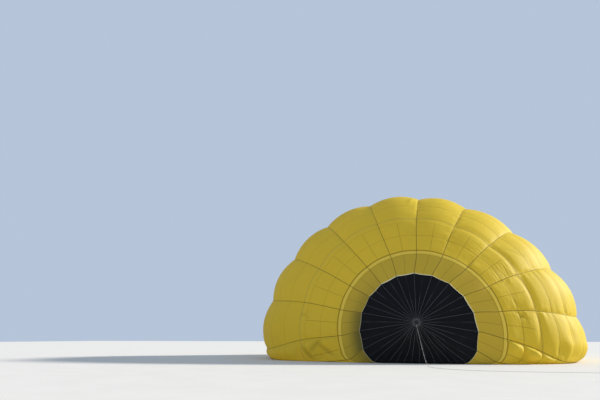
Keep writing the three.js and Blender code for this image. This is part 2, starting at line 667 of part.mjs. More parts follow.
// A burner: a deep can whose wall is the ribbed coil, on a plate.
function burnerGeometry() {
  const { radius, high, wall, ribs, ribDeep } = BURNER;
  const plate = 10;
  const profile = [[0, 0], [radius - ribDeep, 0]];
  const rib = (high - plate) / ribs;
  for (let i = 0; i < ribs; i++) {
    const z = plate + i * rib;
    profile.push([radius - ribDeep, z], [radius, z + rib * 0.3], [radius, z + rib * 0.7]);
  }
  profile.push([radius - ribDeep, high], [radius - wall, high], [radius - wall, plate], [0, plate]);
  return new THREE.LatheGeometry(profile.map(([r, z]) => new THREE.Vector2(r, z)), 16).rotateX(Math.PI / 2);
}

addGores();
addValve();
addCrown();
addCrownLine();
addMouthHem();
addBasket();
addFrame();
addBurners();

// The origin is on the ground, in the middle of everything but the loose crown line.
balloon.updateMatrixWorld(true);
const extent = new THREE.Box3();
balloon.traverse((piece) => {
  if (piece.isMesh && !piece.name.startsWith('crown_line')) extent.expandByObject(piece, true);
});
const centre = extent.getCenter(new THREE.Vector3());
balloon.position.set(-centre.x, -centre.y, 0);

export default balloon;
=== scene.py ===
import math

import bmesh
import bpy
import numpy as np
from mathutils import Matrix, Vector


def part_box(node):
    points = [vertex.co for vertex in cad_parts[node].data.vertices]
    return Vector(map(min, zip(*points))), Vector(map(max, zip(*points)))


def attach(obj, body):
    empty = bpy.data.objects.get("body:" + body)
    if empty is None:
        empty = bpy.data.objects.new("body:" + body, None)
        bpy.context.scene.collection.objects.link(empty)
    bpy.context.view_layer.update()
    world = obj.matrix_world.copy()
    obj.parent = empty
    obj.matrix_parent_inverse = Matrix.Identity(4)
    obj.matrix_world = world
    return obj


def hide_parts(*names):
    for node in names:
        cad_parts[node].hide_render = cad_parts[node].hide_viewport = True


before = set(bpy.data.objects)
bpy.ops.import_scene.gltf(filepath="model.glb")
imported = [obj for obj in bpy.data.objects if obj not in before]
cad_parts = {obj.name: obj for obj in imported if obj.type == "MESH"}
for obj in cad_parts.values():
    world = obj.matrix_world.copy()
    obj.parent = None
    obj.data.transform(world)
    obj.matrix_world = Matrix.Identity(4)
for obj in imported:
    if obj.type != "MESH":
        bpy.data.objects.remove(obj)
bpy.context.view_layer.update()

# The envelope's driving dimensions
GORES = 20
SKIN = 0.010
PANEL = 1.45                     # height of one cloth panel along a gore
PANELS = 19
GORE_RUN = PANELS * PANEL        # from the edge of the vent to the mouth
FOOT_ROUND = 0.7                 # how gently the wall turns onto the ground
LOBE_FADE = 1.2                  # lobes fade out below this height
VALVE_GAP = 0.010                # the valve panel hangs this far clear of the cloth
VALVE_BACK = 0.008
VALVE_BEHIND = 0.05              # its middle lies this far behind the crown
VALVE_BULGE = 0.07
CROWN = Vector((0, -0.56, 2.62))
RING_RADIUS = 0.16
RING_WIRE = 0.012
COLLAR_HALF = 0.004
COLLAR_IN = 0.13
COLLAR_OUT = 0.20
TAPE_FROM = 0.165
LAP_OUT = 0.3                    # each tape is sewn double as far as this from the ring's middle
HEM_WIDE = 0.06
LOAD_TAPE = {"wide": 0.045, "thick": 0.003}
VENT_TAPE = {"wide": 0.024, "lap_wide": 0.055, "ring_wide": 0.045, "thick": 0.004, "slack": 0.09}
TAPE_LIFT = 0.004                # the middle of a tape stands this far off the cloth and the ground
RING_LOOP = {"wide": 0.034, "thick": 0.003}
TO_CAMERA = (0, -1, 0)
CORNER_SIGNS = ((-1, -1), (1, -1), (1, 1), (-1, 1))
SEAT = 0.0003
ROPE = 0.007                     # radius of the crown line
COIL_MIDDLE = 0.108              # middle radius of its coil
COIL_COLUMNS = 4
COIL_LAYERS = 3
LAID_Y = 28.0                    # where the basket's runners lie

# Sections of the envelope, from the vent to the mouth, each an ellipse cut off by the ground.
# run: distance along a gore; front: where the section stands; lean: how far it leans back per unit of
# height; half: half width; side: sideways shift; top: height; wide: height of the widest point;
# share: part of the wall, from top to ground, that the fifth tape has come; turn: gores that the net is
# turned; spread: how far the tapes halfway down have slid from the top, as four times a share of the wall;
# lobe: how far a gore bellies out, as a share of its width.
SECTION_COLUMNS = ("run", "front", "lean", "half", "side", "top", "wide", "share", "turn", "spread", "lobe")
SECTIONS = np.array([
    (0, 0.1, 0.12, 3.92, 0, 6.05, 2.15, 0.74, 0.06, 0, -0.03),
    (1.45, 0.45, 0.16, 5.37, 0.12, 7.55, 2.3, 0.83, 0.12, 0.03, 0.01),
    (4.35, 1.2, 0.24, 8.2, -0.26, 10.72, 2.5, 0.92, 0.27, 0.06, 0.05),
    (7.25, 2.3, 0.33, 10.5, -0.5, 13.18, 2.7, 0.98, 0.33, 0.06, 0.075),
    (10.15, 4.3, 0.38, 11.8, -0.52, 13.56, 2.8, 0.99, 0.36, 0.06, 0.085),
    (13.05, 7.3, 0.36, 12.2, -0.55, 13.56, 2.7, 0.99, 0.36, 0.06, 0.085),
    (16, 10.6, 0.28, 11.4, -0.5, 12.65, 2.5, 0.98, 0.28, 0.05, 0.085),
    (20, 15, 0.1, 8.4, -0.3, 9.7, 2.2, 0.95, 0.1, 0.03, 0.075),
    (24, 18.9, -0.08, 4.7, -0.1, 6.2, 1.9, 0.86, 0.04, 0, 0.05),
    (GORE_RUN, 21.7, -0.2, 2.35, 0, 3.5, 1.5, 0.76, 0, 0, 0),
])

SHARP_DEGREES = 35               # edges that bend more than this look sharp

# How finely the cloth is made
ACROSS = 32                      # columns across a gore
ROWS_PER_PANEL = 14
TAPE_ROWS_PER_PANEL = 6
CLOTH_LIFT = 0.003               # the cloth on the ground lies this far above it
SCALLOP = 0.07                   # the free edge of the vent reaches this far in between two tapes
SCALLOP_RUN = 0.8                # and draws in the cloth up to here

# How high the cloth's irregular swells stand, in the air, in the creases at the tapes and low down
SWELL = 0.02
TAPE_CREASES = 0.022
SAG = 0.05
PLAIN_SWELL = 0.012              # a panel's own swell, and the hem's visible width, where no table has them
PLAIN_HEM = 0.014

# Valleys across a gore, at a sewn ring or a seam. A gore is named by its left tape, counted clockwise
# from the top.
FOLD_COLUMNS = ("gore", "run", "depth", "wide")
FOLDS = [
    (0, 4.35, 0.02, 0.3), (1, 4.35, 0.05, 0.28), (2, 4.35, 0.07, 0.25), (3, 4.35, 0.08, 0.25),
    (4, 4.35, 0.08, 0.28), (1, 7.25, 0.02, 0.3), (2, 7.25, 0.04, 0.3), (3, 7.25, 0.04, 0.3),
    (4, 7.25, 0.04, 0.3), (5, 1.6, 0.1, 0.16), (5, 2.95, 0.24, 0.16), (5, 4.4, 0.24, 0.18),
    (5, 7.4, 0.15, 0.3), (6, 3.0, 0.08, 0.3), (-6, 1.75, 0.12, 0.16), (-6, 3.1, 0.2, 0.18),
    (-6, 4.6, 0.2, 0.2), (-5, 4.35, 0.02, 0.3), (-4, 4.35, 0.02, 0.3),
]
# Single creases and bulges: where they are, how high they stand, half their length and width, and how
# they are turned, in degrees away from the run.
TUCK_COLUMNS = ("gore", "run", "v", "stand", "long", "wide", "turned")
TUCKS = [
    (4, 3.05, 0.16, -0.05, 0.5, 0.09, 25), (4, 3.05, 0.16, -0.05, 0.45, 0.09, -30),
    (4, 3.3, 0.2, -0.04, 0.6, 0.1, 80), (-5, 4.2, 0.68, -0.04, 0.5, 0.09, 30),
    (-5, 4.2, 0.68, -0.04, 0.5, 0.09, -35), (-5, 3.8, 0.55, -0.03, 0.6, 0.1, 85),
    (-1, 6.7, 0.86, 0.08, 0.6, 0.14, 20), (3, 3.0, 0.85, -0.03, 0.5, 0.1, 60),
    (2, 5.3, 0.5, -0.03, 0.7, 0.12, 50), (5, 2.25, 0.2, 0.3, 0.65, 0.4, 0),
    (5, 3.65, 0.2, 0.36, 0.7, 0.42, 0), (5, 5.8, 0.2, 0.34, 1.4, 0.45, 0),
    (-6, 2.4, 0.82, 0.2, 0.6, 0.38, 0), (-6, 3.85, 0.8, 0.25, 0.7, 0.4, 0),
    (-6, 5.8, 0.8, 0.22, 1.2, 0.42, 0), (-6, 2.7, 0.6, -0.1, 0.6, 0.12, 45),
    (-6, 4.0, 0.62, -0.1, 0.6, 0.13, 55), (-6, 3.4, 0.75, -0.08, 0.5, 0.1, -40),
]
# Fields of fine wrinkles along the rings: the gore, the runs between which they lie, and their middle
# across the gore
WRINKLE_COLUMNS = ("gore", "low", "high", "v", "strength")
WRINKLES = [
    (2, 2.2, 4.3, 0.8, 0.8), (1, 2.3, 4.2, 0.8, 0.5), (3, 1.8, 3.4, 0.75, 0.35), (-3, 1.9, 3.6, 0.2, 0.3),
    (4, 2.4, 4.2, 0.3, 0.35),
]
# By gore: how strong the painted shade on the cloth beside the vent is, how wide the vent's hem shows, and
# how far each panel swells
PAINTED_SHADE_BESIDE_VENT = {-7: 0.7, -6: 1.0, -5: 0.9, -4: 0.5, -3: 0.25}
# The hem's wider pale strips on these gores are a painted highlight of the sunlit vent edge
HEM_SHOWS = {-3: 0.03, -2: 0.06, -1: 0.06, 0: 0.05, 1: 0.03, 2: 0.03, 3: 0.04, 4: 0.04}
PANEL_SWELL = {1: 0.016, 2: 0.022, 3: 0.026, 4: 0.028, 5: 0.03}

# The envelope's own coordinates start above the vent's foot, and the basket's place says where that is.
floor_low, floor_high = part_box("basket_floor")
SHIFT = Vector(((floor_low.x + floor_high.x) / 2, floor_high.y - LAID_Y, 0))

# The camera stands at eye height in front of the crown.
camera_data = bpy.data.cameras.new("camera")
camera_data.sensor_width = 36
camera_data.lens = 27
camera_data.clip_end = 400
camera = bpy.data.objects.new("camera", camera_data)
camera.location = Vector((0.3, -32.4, 1.65)) + SHIFT
camera.rotation_euler = (math.radians(106.99), 0, math.radians(14.56))
bpy.context.scene.collection.objects.link(camera)
bpy.context.scene.camera = camera
bpy.context.scene.view_settings.view_transform = "Standard"


# Small helpers for meshes

def mesh_object(name, points, faces, material):
    """A smooth mesh object from arrays of points and faces."""
    mesh = bpy.data.meshes.new(name)
    mesh.from_pydata([tuple(p) for p in points], [], [tuple(f) for f in faces])
    mesh.polygons.foreach_set("use_smooth", [True] * len(mesh.polygons))
    mesh.materials.append(material)
    made = bpy.data.objects.new(name, mesh)
    bpy.context.scene.collection.objects.link(made)
    return made


def grid_faces(rows, cols, closed=False):
    """Faces between the neighbours of a grid of points, row by row.
    A closed grid joins its last column to its first."""
    i, k = np.meshgrid(np.arange(rows - 1), np.arange(cols if closed else cols - 1), indexing="ij")
    n = (k + 1) % cols
    corners = [i * cols + k, i * cols + n, (i + 1) * cols + n, (i + 1) * cols + k]
    return np.stack(corners, axis=-1).reshape(-1, 4)


def loop_faces(rows, sides, closed=False, caps=True):
    """Faces of a tube made of loops of points, with its ends capped or joined to each other."""
    faces = [tuple(f) for f in grid_faces(rows, sides, closed=True)]
    last = (rows - 1) * sides
    if closed:
        return faces + [(last + k, last + (k + 1) % sides, (k + 1) % sides, k) for k in range(sides)]
    if caps:
        faces += [tuple(range(sides))[::-1], tuple(range(last, last + sides))]
    return faces


def loop_uv(around, along):
    """One pair of values for each point of such a tube."""
    return np.stack([np.tile(around, len(along)), np.repeat(along, len(around))], axis=1)


def distances(path):
    """How far along a path each of its points lies."""
    return np.concatenate([[0], np.cumsum(np.linalg.norm(np.diff(path, axis=0), axis=1))])


def raised(points, level):
    """Points with none of them under a level."""
    points[:, 2] = np.maximum(points[:, 2], level)
    return points


def unit(vectors):
    return vectors / np.linalg.norm(vectors, axis=-1)[..., None]


def set_uv(piece, name, values):
    """A UV map from one pair of values for each point."""
    layer = piece.data.uv_layers.new(name=name)
    corners = np.empty(len(piece.data.loops), int)
    piece.data.loops.foreach_get("vertex_index", corners)
    layer.data.foreach_set("uv", np.asarray(values, np.float32)[corners].ravel())


class Shapes:
    """Several shapes that become one mesh. Each may bring its part of a UV map."""

    def __init__(self):
        self.points = []
        self.faces = []
        self.uvs = []
        self.count = 0

    def add(self, points, faces, uv=None):
        self.points.append(np.asarray(points, float))
        self.faces += [tuple(int(v) + self.count for v in face) for face in faces]
        self.count += len(points)
        if uv is not None:
            self.uvs.append(uv)

    def place(self):
        """Moves the shapes from the envelope's own coordinates to the frame's."""
        self.points = [placed(points) for points in self.points]

    def build(self, name, material, uv_name="tape"):
        made = mesh_object(name, np.concatenate(self.points), self.faces, material)
        if self.uvs:
            set_uv(made, uv_name, np.concatenate(self.uvs))
        return made


def tube(path, radius, sides=12, closed=False):
    """Points and faces of a round tube along a path. Radius is one number or one for each point."""
    path = np.asarray(path, float)
    radius = np.broadcast_to(np.asarray(radius, float), len(path))
    ahead = np.roll(path, -1, axis=0) - np.roll(path, 1, axis=0)
    if not closed:
        ahead[0] = path[1] - path[0]
        ahead[-1] = path[-1] - path[-2]
    ahead = unit(ahead)
    side = np.cross(ahead[0], (0, 0, 1) if abs(ahead[0][2]) < 0.9 else (1, 0, 0))
    sides_of = []
    for direction in ahead:
        side = side - direction * (side @ direction)
        side = side / np.linalg.norm(side)
        sides_of.append(side)
    first = np.array(sides_of)
    second = np.cross(ahead, first)
    angle = np.arange(sides) * 2 * math.pi / sides
    ring = first[:, None] * np.cos(angle)[None, :, None] + second[:, None] * np.sin(angle)[None, :, None]
    points = (path[:, None] + ring * radius[:, None, None]).reshape(-1, 3)
    return points, loop_faces(len(path), sides, closed)


def smoothstep(x, low, high):
    """Goes smoothly from 0 to 1 while x goes from low to high."""
    t = np.clip((x - low) / (high - low), 0, 1)
    return t * t * (3 - 2 * t)


# The envelope's surface, as in the part's source

def section_at(run):
    """The section's values at a run, by smooth curves through the table."""
    runs = SECTIONS[:, 0]
    last = len(SECTIONS) - 1
    i = int(np.clip(np.searchsorted(runs, run) - 1, 0, last - 1))
    span = runs[i + 1] - runs[i]
    s = (run - runs[i]) / span

    def slope(k):
        before, after = SECTIONS[max(0, k - 1)], SECTIONS[min(last, k + 1)]
        return (after - before) / (after[0] - before[0])

    row = (SECTIONS[i] * (1 + 2 * s) * (1 - s) ** 2 + SECTIONS[i + 1] * s * s * (3 - 2 * s)
           + slope(i) * span * s * (1 - s) ** 2 - slope(i + 1) * span * s * s * (1 - s))
    return dict(zip(SECTION_COLUMNS, row))


def wall_of(section):
    """The wall of a section from its top to the ground: its x, its z and the distance from the top."""
    rise = section["top"] - section["wide"]
    end = -np.arcsin(min(1.0, section["wide"] / rise))
    angle = np.linspace(np.pi / 2, end, 241)
    x = section["half"] * np.cos(angle)
    z = section["wide"] + rise * np.sin(angle)
    steps = np.hypot(np.diff(x), np.diff(z) * np.hypot(1, section["lean"]))
    return x, z, np.concatenate([[0], np.cumsum(steps)])


def along_section(wall, way):
    """Points of a section's right half, at distances from its top along the wall and along the ground."""
    x, z, ways = wall
    foot_x, foot_way = x[-1], ways[-1]

    def sharp(w):
        on = np.minimum(w, foot_way)
        level = np.where(w >= foot_way, 0, np.interp(on, ways, z))
        return np.interp(on, ways, x) - np.maximum(w - foot_way, 0), level

    px, pz = sharp(way)
    s = np.clip((way - foot_way + FOOT_ROUND) / (2 * FOOT_ROUND), 0, 1)
    before = sharp(np.array([foot_way - FOOT_ROUND]))
    after = sharp(np.array([foot_way + FOOT_ROUND]))
    qx = (1 - s) ** 2 * before[0] + 2 * s * (1 - s) * foot_x + s * s * after[0]
    qz = (1 - s) ** 2 * before[1] + s * s * after[1]
    soft = (s > 0) & (s < 1)
    return np.where(soft, qx, px), np.where(soft, qz, pz)


walls = {}


def body_points(run, gore):
    """Points of the smooth body under the lobes, at one run and an array of places round the envelope.
    A place counts gores from the top tape, clockwise, to +10 and -10 in the ground's middle."""
    if run not in walls:
        section = section_at(run)
        walls[run] = section, wall_of(section)
    section, wall = walls[run]
    half = GORES / 2
    gore = np.asarray(gore, float)
    wrapped = np.where(gore > half, gore - GORES, np.where(gore < -half, gore + GORES, gore))
    turned = wrapped + section["turn"] * (1 - np.abs(wrapped) / half)
    foot_x, foot_way = wall[0][-1], wall[2][-1]
    foot_gore = 5 / section["share"]
    place = np.minimum(half, np.abs(turned))
    down = place / foot_gore
    on_wall = (down + section["spread"] * down * (1 - down)) * foot_way
    on_ground = foot_way + (place - foot_gore) / (half - foot_gore) * foot_x
    px, pz = along_section(wall, np.where(place <= foot_gore, on_wall, on_ground))
    sign = np.where(turned < 0, -1.0, 1.0)
    return np.stack([sign * px + section["side"], section["front"] + section["lean"] * pz, pz], axis=1)


def body_normals(run, gore):
    """Outward normals of that body."""
    gore = np.asarray(gore, float)
    low, high = max(0.0, run - 0.02), min(GORE_RUN, run + 0.02)
    across = body_points(run, gore + 0.02) - body_points(run, gore - 0.02)
    along = body_points(high, gore) - body_points(low, gore)
    normal = np.cross(across, along)
    return unit(normal)


def gore_widths(run, gore):
    """The distance between the two tapes beside each place."""
    left = np.floor(np.asarray(gore, float) + 1e-9)
    return np.linalg.norm(body_points(run, left + 1) - body_points(run, left), axis=1)


def cloth_points(run, gore, depth=0.0):
    """Points of the cloth's outer face, on the lobes between the tapes, or at a depth under it."""
    gore = np.asarray(gore, float)
    v = gore - np.floor(gore + 1e-9)
    points = body_points(run, gore)
    fade = smoothstep(points[:, 2], 0, LOBE_FADE)
    normal = body_normals(run, gore)
    offset = section_at(run)["lobe"] * gore_widths(run, gore) * 4 * v * (1 - v) * fade
    return raised(points + normal * offset[:, None], 0) - normal * depth


def placed(points):
    """Points in the frame's coordinates, from the envelope's own, with none under the ground."""
    return raised(np.asarray(points, float) + np.array(SHIFT), 0)


def settle(piece, body, slot_name, *nodes):
    """Says which body a piece rides on, and hides the nodes that it stands for. Its slot name is not used."""
    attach(piece, body)
    if nodes:
        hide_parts(*nodes)


def smooth_route(points, step):
    """Points at about equal steps on a smooth curve through the given ones."""
    p = np.array([2 * points[0] - points[1], *points, 2 * points[-1] - points[-2]], float)
    knots = np.concatenate([[0], np.cumsum(np.linalg.norm(np.diff(p, axis=0), axis=1) ** 0.5)])
    route = []
    for i in range(1, len(p) - 2):
        count = max(2, int(np.linalg.norm(p[i + 1] - p[i]) / step) + 1)
        t = np.linspace(knots[i], knots[i + 1], count + 1)[:-1, None]
        k = knots[i - 1:i + 3]
        a = [((k[j + 1] - t) * p[i - 1 + j] + (t - k[j]) * p[i + j]) / (k[j + 1] - k[j]) for j in range(3)]
        b = [((k[j + 2] - t) * a[j] + (t - k[j]) * a[j + 1]) / (k[j + 2] - k[j]) for j in range(2)]
        route.append((k[2] - t) / (k[2] - k[1]) * b[0] + (t - k[1]) / (k[2] - k[1]) * b[1])
    return np.concatenate([*route, p[-2:-1]])


# Materials

class Graph:
    """A material made of nodes, with short calls for the kinds of node that are used here."""

    def __init__(self, name):
        self.material = bpy.data.materials.new(name)
        self.material.use_nodes = True
        self.tree = self.material.node_tree
        self.tree.nodes.clear()
        self.output = self.node("ShaderNodeOutputMaterial")

    def node(self, kind, **settings):
        made = self.tree.nodes.new(kind)
        for key, value in settings.items():
            setattr(made, key, value)
        return made

    def feed(self, socket, value):
        """Gives a socket another node's output, a number or a colour."""
        if isinstance(value, bpy.types.NodeSocket):
            self.tree.links.new(value, socket)
        else:
            socket.default_value = (*value, 1.0) if isinstance(value, tuple) else value

    def math(self, operation, a, b=0.0):
        made = self.node("ShaderNodeMath", operation=operation)
        for socket, value in zip(made.inputs, (a, b)):
            self.feed(socket, value)
        return made.outputs[0]

    def times(self, a, b):
        return self.math("MULTIPLY", a, b)

    def plus(self, a, b):
        return self.math("ADD", a, b)

    def minus(self, a, b):
        return self.math("SUBTRACT", a, b)

    def ramp(self, value, low, high, first=0.0, second=1.0):
        """Goes smoothly from first to second while value goes from low to high."""
        made = self.node("ShaderNodeMapRange", interpolation_type="SMOOTHSTEP")
        for socket, given in zip(made.inputs, (value, low, high, first, second)):
            self.feed(socket, given)
        return made.outputs[0]

    def mix(self, share, a, b, blend="MIX"):
        made = self.node("ShaderNodeMix", data_type="RGBA", blend_type=blend)
        self.feed(made.inputs[0], share)
        self.feed(made.inputs[6], a)
        self.feed(made.inputs[7], b)
        return made.outputs[2]

    def uv(self, name):
        """The two parts of a UV map."""
        made = self.node("ShaderNodeSeparateXYZ")
        self.feed(made.inputs[0], self.node("ShaderNodeUVMap", uv_map=name).outputs[0])
        return made.outputs[0], made.outputs[1]

    def place(self):
        """The point on the piece, in metres."""
        return self.node("ShaderNodeTexCoord").outputs["Object"]

    def vector(self, x, y, z=0.0):
        made = self.node("ShaderNodeCombineXYZ")
        for socket, value in zip(made.inputs, (x, y, z)):
            self.feed(socket, value)
        return made.outputs[0]

    def noise(self, vector, scale, detail=2.0, roughness=0.5, distortion=0.0):
        made = self.node("ShaderNodeTexNoise")
        self.feed(made.inputs["Vector"], vector)
        made.inputs["Scale"].default_value = scale
        made.inputs["Detail"].default_value = detail
        made.inputs["Roughness"].default_value = roughness
        made.inputs["Distortion"].default_value = distortion
        return made.outputs[0]

    def bump(self, height, distance, normal=None):
        made = self.node("ShaderNodeBump")
        made.inputs["Strength"].default_value = 1.0
        made.inputs["Distance"].default_value = distance
        self.feed(made.inputs["Height"], height)
        if normal is not None:
            self.feed(made.inputs["Normal"], normal)
        return made.outputs[0]

    def line(self, value, at, wide, soft=0.4):
        """1 on a line where value is near a number, 0 beside it. Part of the line's width is soft."""
        off = self.math("ABSOLUTE", self.minus(value, at))
        return self.ramp(off, wide / 2 * (1 - soft), wide / 2 * (1 + soft), 1.0, 0.0)

    def principled(self, color, roughness=0.6, normal=None, **constants):
        made = self.node("ShaderNodeBsdfPrincipled")
        self.feed(made.inputs["Base Color"], color)
        self.feed(made.inputs["Roughness"], roughness)
        if normal is not None:
            self.feed(made.inputs["Normal"], normal)
        for key, value in constants.items():
            made.inputs[key.replace("_", " ")].default_value = value
        return made.outputs[0]

    def finish(self, shader):
        self.feed(self.output.inputs[0], shader)
        return self.material


YELLOW = (0.85, 0.665, 0.06)
DEEP_YELLOW = (0.66, 0.51, 0.045)
FIRST_ROW_PAINTED_SHADE = (0.59, 0.37, 0.03)  # painted shade on the first row, where the black valve panel behind it stops light coming through
PALE_BAND = (0.96, 0.82, 0.2)
SEAM = (0.27, 0.18, 0.012)
RINGS = {"inner": PANEL, "inner_wide": 0.28, "outer": 3 * PANEL, "outer_wide": 0.07}
MIDDLE_SEAM_END = 3.97           # the seam down the middle of each gore stops at a cross seam here
THROUGH = 0.4                    # share of the light that the cloth lets through


def yellow_cloth():
    """Coated ripstop: seams every panel, a middle seam near the vent, two sewn rings, puckered tapes."""
    g = Graph("yellow_cloth")
    v, _ = g.uv("gore")
    across, run = g.uv("cloth")
    wrinkled, dark = g.uv("wear_and_painted_shade")
    to_tape = g.times(g.minus(0.5, g.math("ABSOLUTE", g.minus(v, 0.5))), 3.0)

    off_seam = g.minus(PANEL / 2, g.math("PINGPONG", g.plus(run, PANEL / 2), PANEL / 2))
    seams = g.times(g.ramp(off_seam, 0.01, 0.04, 1.0, 0.0), g.ramp(run, 0.5, 1.0))
    # Seams are dark stitched lines; their extra darkening to the right is painted shade in seam valleys
    # grazed by the sun
    x_place = g.node("ShaderNodeSeparateXYZ")
    g.feed(x_place.inputs[0], g.place())
    seams = g.times(seams, g.ramp(x_place.outputs[0], -3.0, 8.0, 0.25, 0.8))
    ring_end = RINGS["inner"] + RINGS["inner_wide"]
    past_ring = g.ramp(run, ring_end, ring_end + 0.02)
    has_middle = g.math("MAXIMUM", g.ramp(run, PANEL - 0.02, PANEL, 1.0, 0.0), past_ring)
    has_middle = g.times(has_middle, g.ramp(run, MIDDLE_SEAM_END - 0.02, MIDDLE_SEAM_END, 1.0, 0.0))
    middle = g.times(g.ramp(g.math("ABSOLUTE", across), 0.008, 0.026, 1.0, 0.0), has_middle)
    middle = g.times(middle, 0.7)
    cross_seam = g.times(g.line(run, MIDDLE_SEAM_END, 0.035), 0.35)
    inner_line = g.times(g.line(run, RINGS["inner"] - 0.01, 0.05), 0.5)
    outer_line = g.line(run, ring_end, 0.08)
    beyond_outer = g.times(g.line(run, RINGS["outer"] + RINGS["outer_wide"], 0.045), 0.6)
    lines = seams
    for line in (middle, cross_seam, inner_line, outer_line, beyond_outer):
        lines = g.math("MAXIMUM", lines, line)
    band_middle = RINGS["inner"] + RINGS["inner_wide"] / 2
    band = g.math("MAXIMUM", g.times(g.line(run, band_middle, 0.2, 0.5), 0.75),
                  g.times(g.line(run, RINGS["outer"] + 0.01, RINGS["outer_wide"], 0.3), 0.8))

    wide_shade = g.noise(g.place(), 0.35, 3.0)
    fine_shade = g.noise(g.vector(g.times(across, 3.0), run), 2.2, 4.0, 0.6)
    shade = g.plus(g.times(wide_shade, 0.3), g.times(fine_shade, 0.2))
    color = g.mix(shade, YELLOW, DEEP_YELLOW)
    first_row = g.ramp(run, PANEL - 0.03, PANEL, 1.0, 0.0)
    # Painted shade on the first row, over the black valve panel
    color = g.mix(g.times(first_row, 0.75), color, FIRST_ROW_PAINTED_SHADE)
    color = g.mix(g.times(band, 0.6), color, PALE_BAND)
    color = g.mix(g.times(lines, 0.75), color, SEAM)
    # Painted shade beside the vent and in the creases
    color = g.mix(g.times(dark, 0.85), color, (0.07, 0.075, 0.02))

    pucker = g.noise(g.vector(g.times(to_tape, 0.8), g.times(run, 3.2)), 1.0, 3.0, 0.55)
    near_tape = g.ramp(to_tape, 0.02, 0.75, 1.0, 0.0)
    streaks = g.noise(g.vector(g.times(across, 0.8), g.times(run, 7.5)), 1.0, 2.0, 0.5, 0.25)
    crinkle = g.noise(g.place(), 5.0, 4.0, 0.62, 0.6)
    normal = g.bump(g.times(pucker, near_tape), 0.035)
    normal = g.bump(g.times(streaks, wrinkled), 0.09, normal)
    normal = g.bump(crinkle, 0.012, normal)
    normal = g.bump(lines, 0.006, normal)

    skin = g.principled(color, 0.6, normal, Specular_IOR_Level=0.2)
    through = g.node("ShaderNodeBsdfTranslucent")
    g.feed(through.inputs[0], color)
    g.feed(through.inputs[1], normal)
    both = g.node("ShaderNodeMixShader")
    g.feed(both.inputs[0], g.times(g.minus(1.0, g.times(first_row, 0.7)), THROUGH))
    g.feed(both.inputs[1], skin)
    g.feed(both.inputs[2], through.outputs[0])
    return g.finish(both.outputs[0])


def black_cloth():
    """The valve panel's black cloth, with its sewn radial seams."""
    g = Graph("black_cloth")
    v, _ = g.uv("gore")
    _, radius = g.uv("cloth")
    seam = g.math("ABSOLUTE", g.minus(g.math("FRACT", v), 0.5))
    seam = g.ramp(g.times(g.times(seam, 2 * math.pi / GORES), radius), 0.007, 0.015, 1.0, 0.0)
    cloud = g.noise(g.place(), 1.1, 4.0, 0.6)
    color = g.mix(cloud, (0.003, 0.003, 0.004), (0.007, 0.007, 0.009))
    broken = g.ramp(g.noise(g.place(), 0.8, 2.0), 0.4, 0.6, 0.15, 0.8)
    color = g.mix(g.times(seam, broken), color, (0.09, 0.09, 0.095))
    crinkle = g.noise(g.place(), 4.0, 4.0, 0.62, 0.5)
    normal = g.bump(crinkle, 0.012)
    normal = g.bump(seam, 0.004, normal)
    return g.finish(g.principled(color, 0.6, normal, Specular_IOR_Level=0.12))


def webbing(name, color, dark, pitch=0.004):
    """Woven tape: ribs across it and a stitched line near each edge.
    U goes across the tape, V along it, in metres."""
    g = Graph(name)
    across, along = g.uv("tape")
    ribs = g.math("SINE", g.times(along, 2 * math.pi / pitch))
    stitch = g.line(g.math("ABSOLUTE", across), 0.36, 0.06)
    wear_and_painted_shade = g.noise(g.place(), 9.0, 4.0)
    tone = g.mix(wear_and_painted_shade, color, dark)
    tone = g.mix(g.times(stitch, 0.5), tone, dark)
    normal = g.bump(ribs, 0.0006)
    return g.finish(g.principled(tone, 0.75, normal, Specular_IOR_Level=0.3))


def braided_rope():
    """Pale braided rope. U goes round it, V along it in metres."""
    g = Graph("braided_rope")
    around, along = g.uv("tape")
    lay = g.times(along, 2 * math.pi / 0.02)
    first = g.math("SINE", g.plus(lay, g.times(around, 2 * math.pi * 4)))
    second = g.math("SINE", g.minus(lay, g.times(around, 2 * math.pi * 4)))
    strands = g.math("MAXIMUM", first, second)
    grime = g.noise(g.place(), 6.0, 4.0)
    color = g.mix(grime, (0.84, 0.82, 0.76), (0.6, 0.57, 0.5))
    # Painted shade in the grooves between the strands
    color = g.mix(g.ramp(strands, 0.2, 0.9, 0.35, 0.0), color, (0.35, 0.33, 0.3))
    return g.finish(g.principled(color, 0.8, g.bump(strands, 0.0015), Specular_IOR_Level=0.2))


def steel(name, color=(0.6, 0.61, 0.63), roughness=0.32):
    """Stainless steel with fine rubbed streaks and dull patches."""
    g = Graph(name)
    cloud = g.noise(g.place(), 14.0, 3.0)
    streaks = g.noise(g.place(), 160.0, 2.0)
    rough = g.plus(g.times(cloud, 0.2), roughness - 0.1)
    tone = g.mix(cloud, color, tuple(c * 0.8 for c in color))
    return g.finish(g.principled(tone, rough, g.bump(streaks, 0.0003), Metallic=1.0))


cloth_material = yellow_cloth()
valve_material = black_cloth()
rope_material = braided_rope()
grey_webbing = webbing("grey_webbing", (0.10, 0.10, 0.105), (0.05, 0.05, 0.055))
dark_webbing = webbing("dark_webbing", (0.045, 0.045, 0.05), (0.025, 0.025, 0.03))
yellow_webbing = webbing("yellow_webbing", (0.32, 0.22, 0.015), (0.22, 0.145, 0.01))
pale_webbing = webbing("pale_webbing", (0.95, 0.89, 0.62), (0.8, 0.7, 0.4))
ring_steel = steel("ring_steel", (0.3, 0.3, 0.31))


# The crown line, a free cord

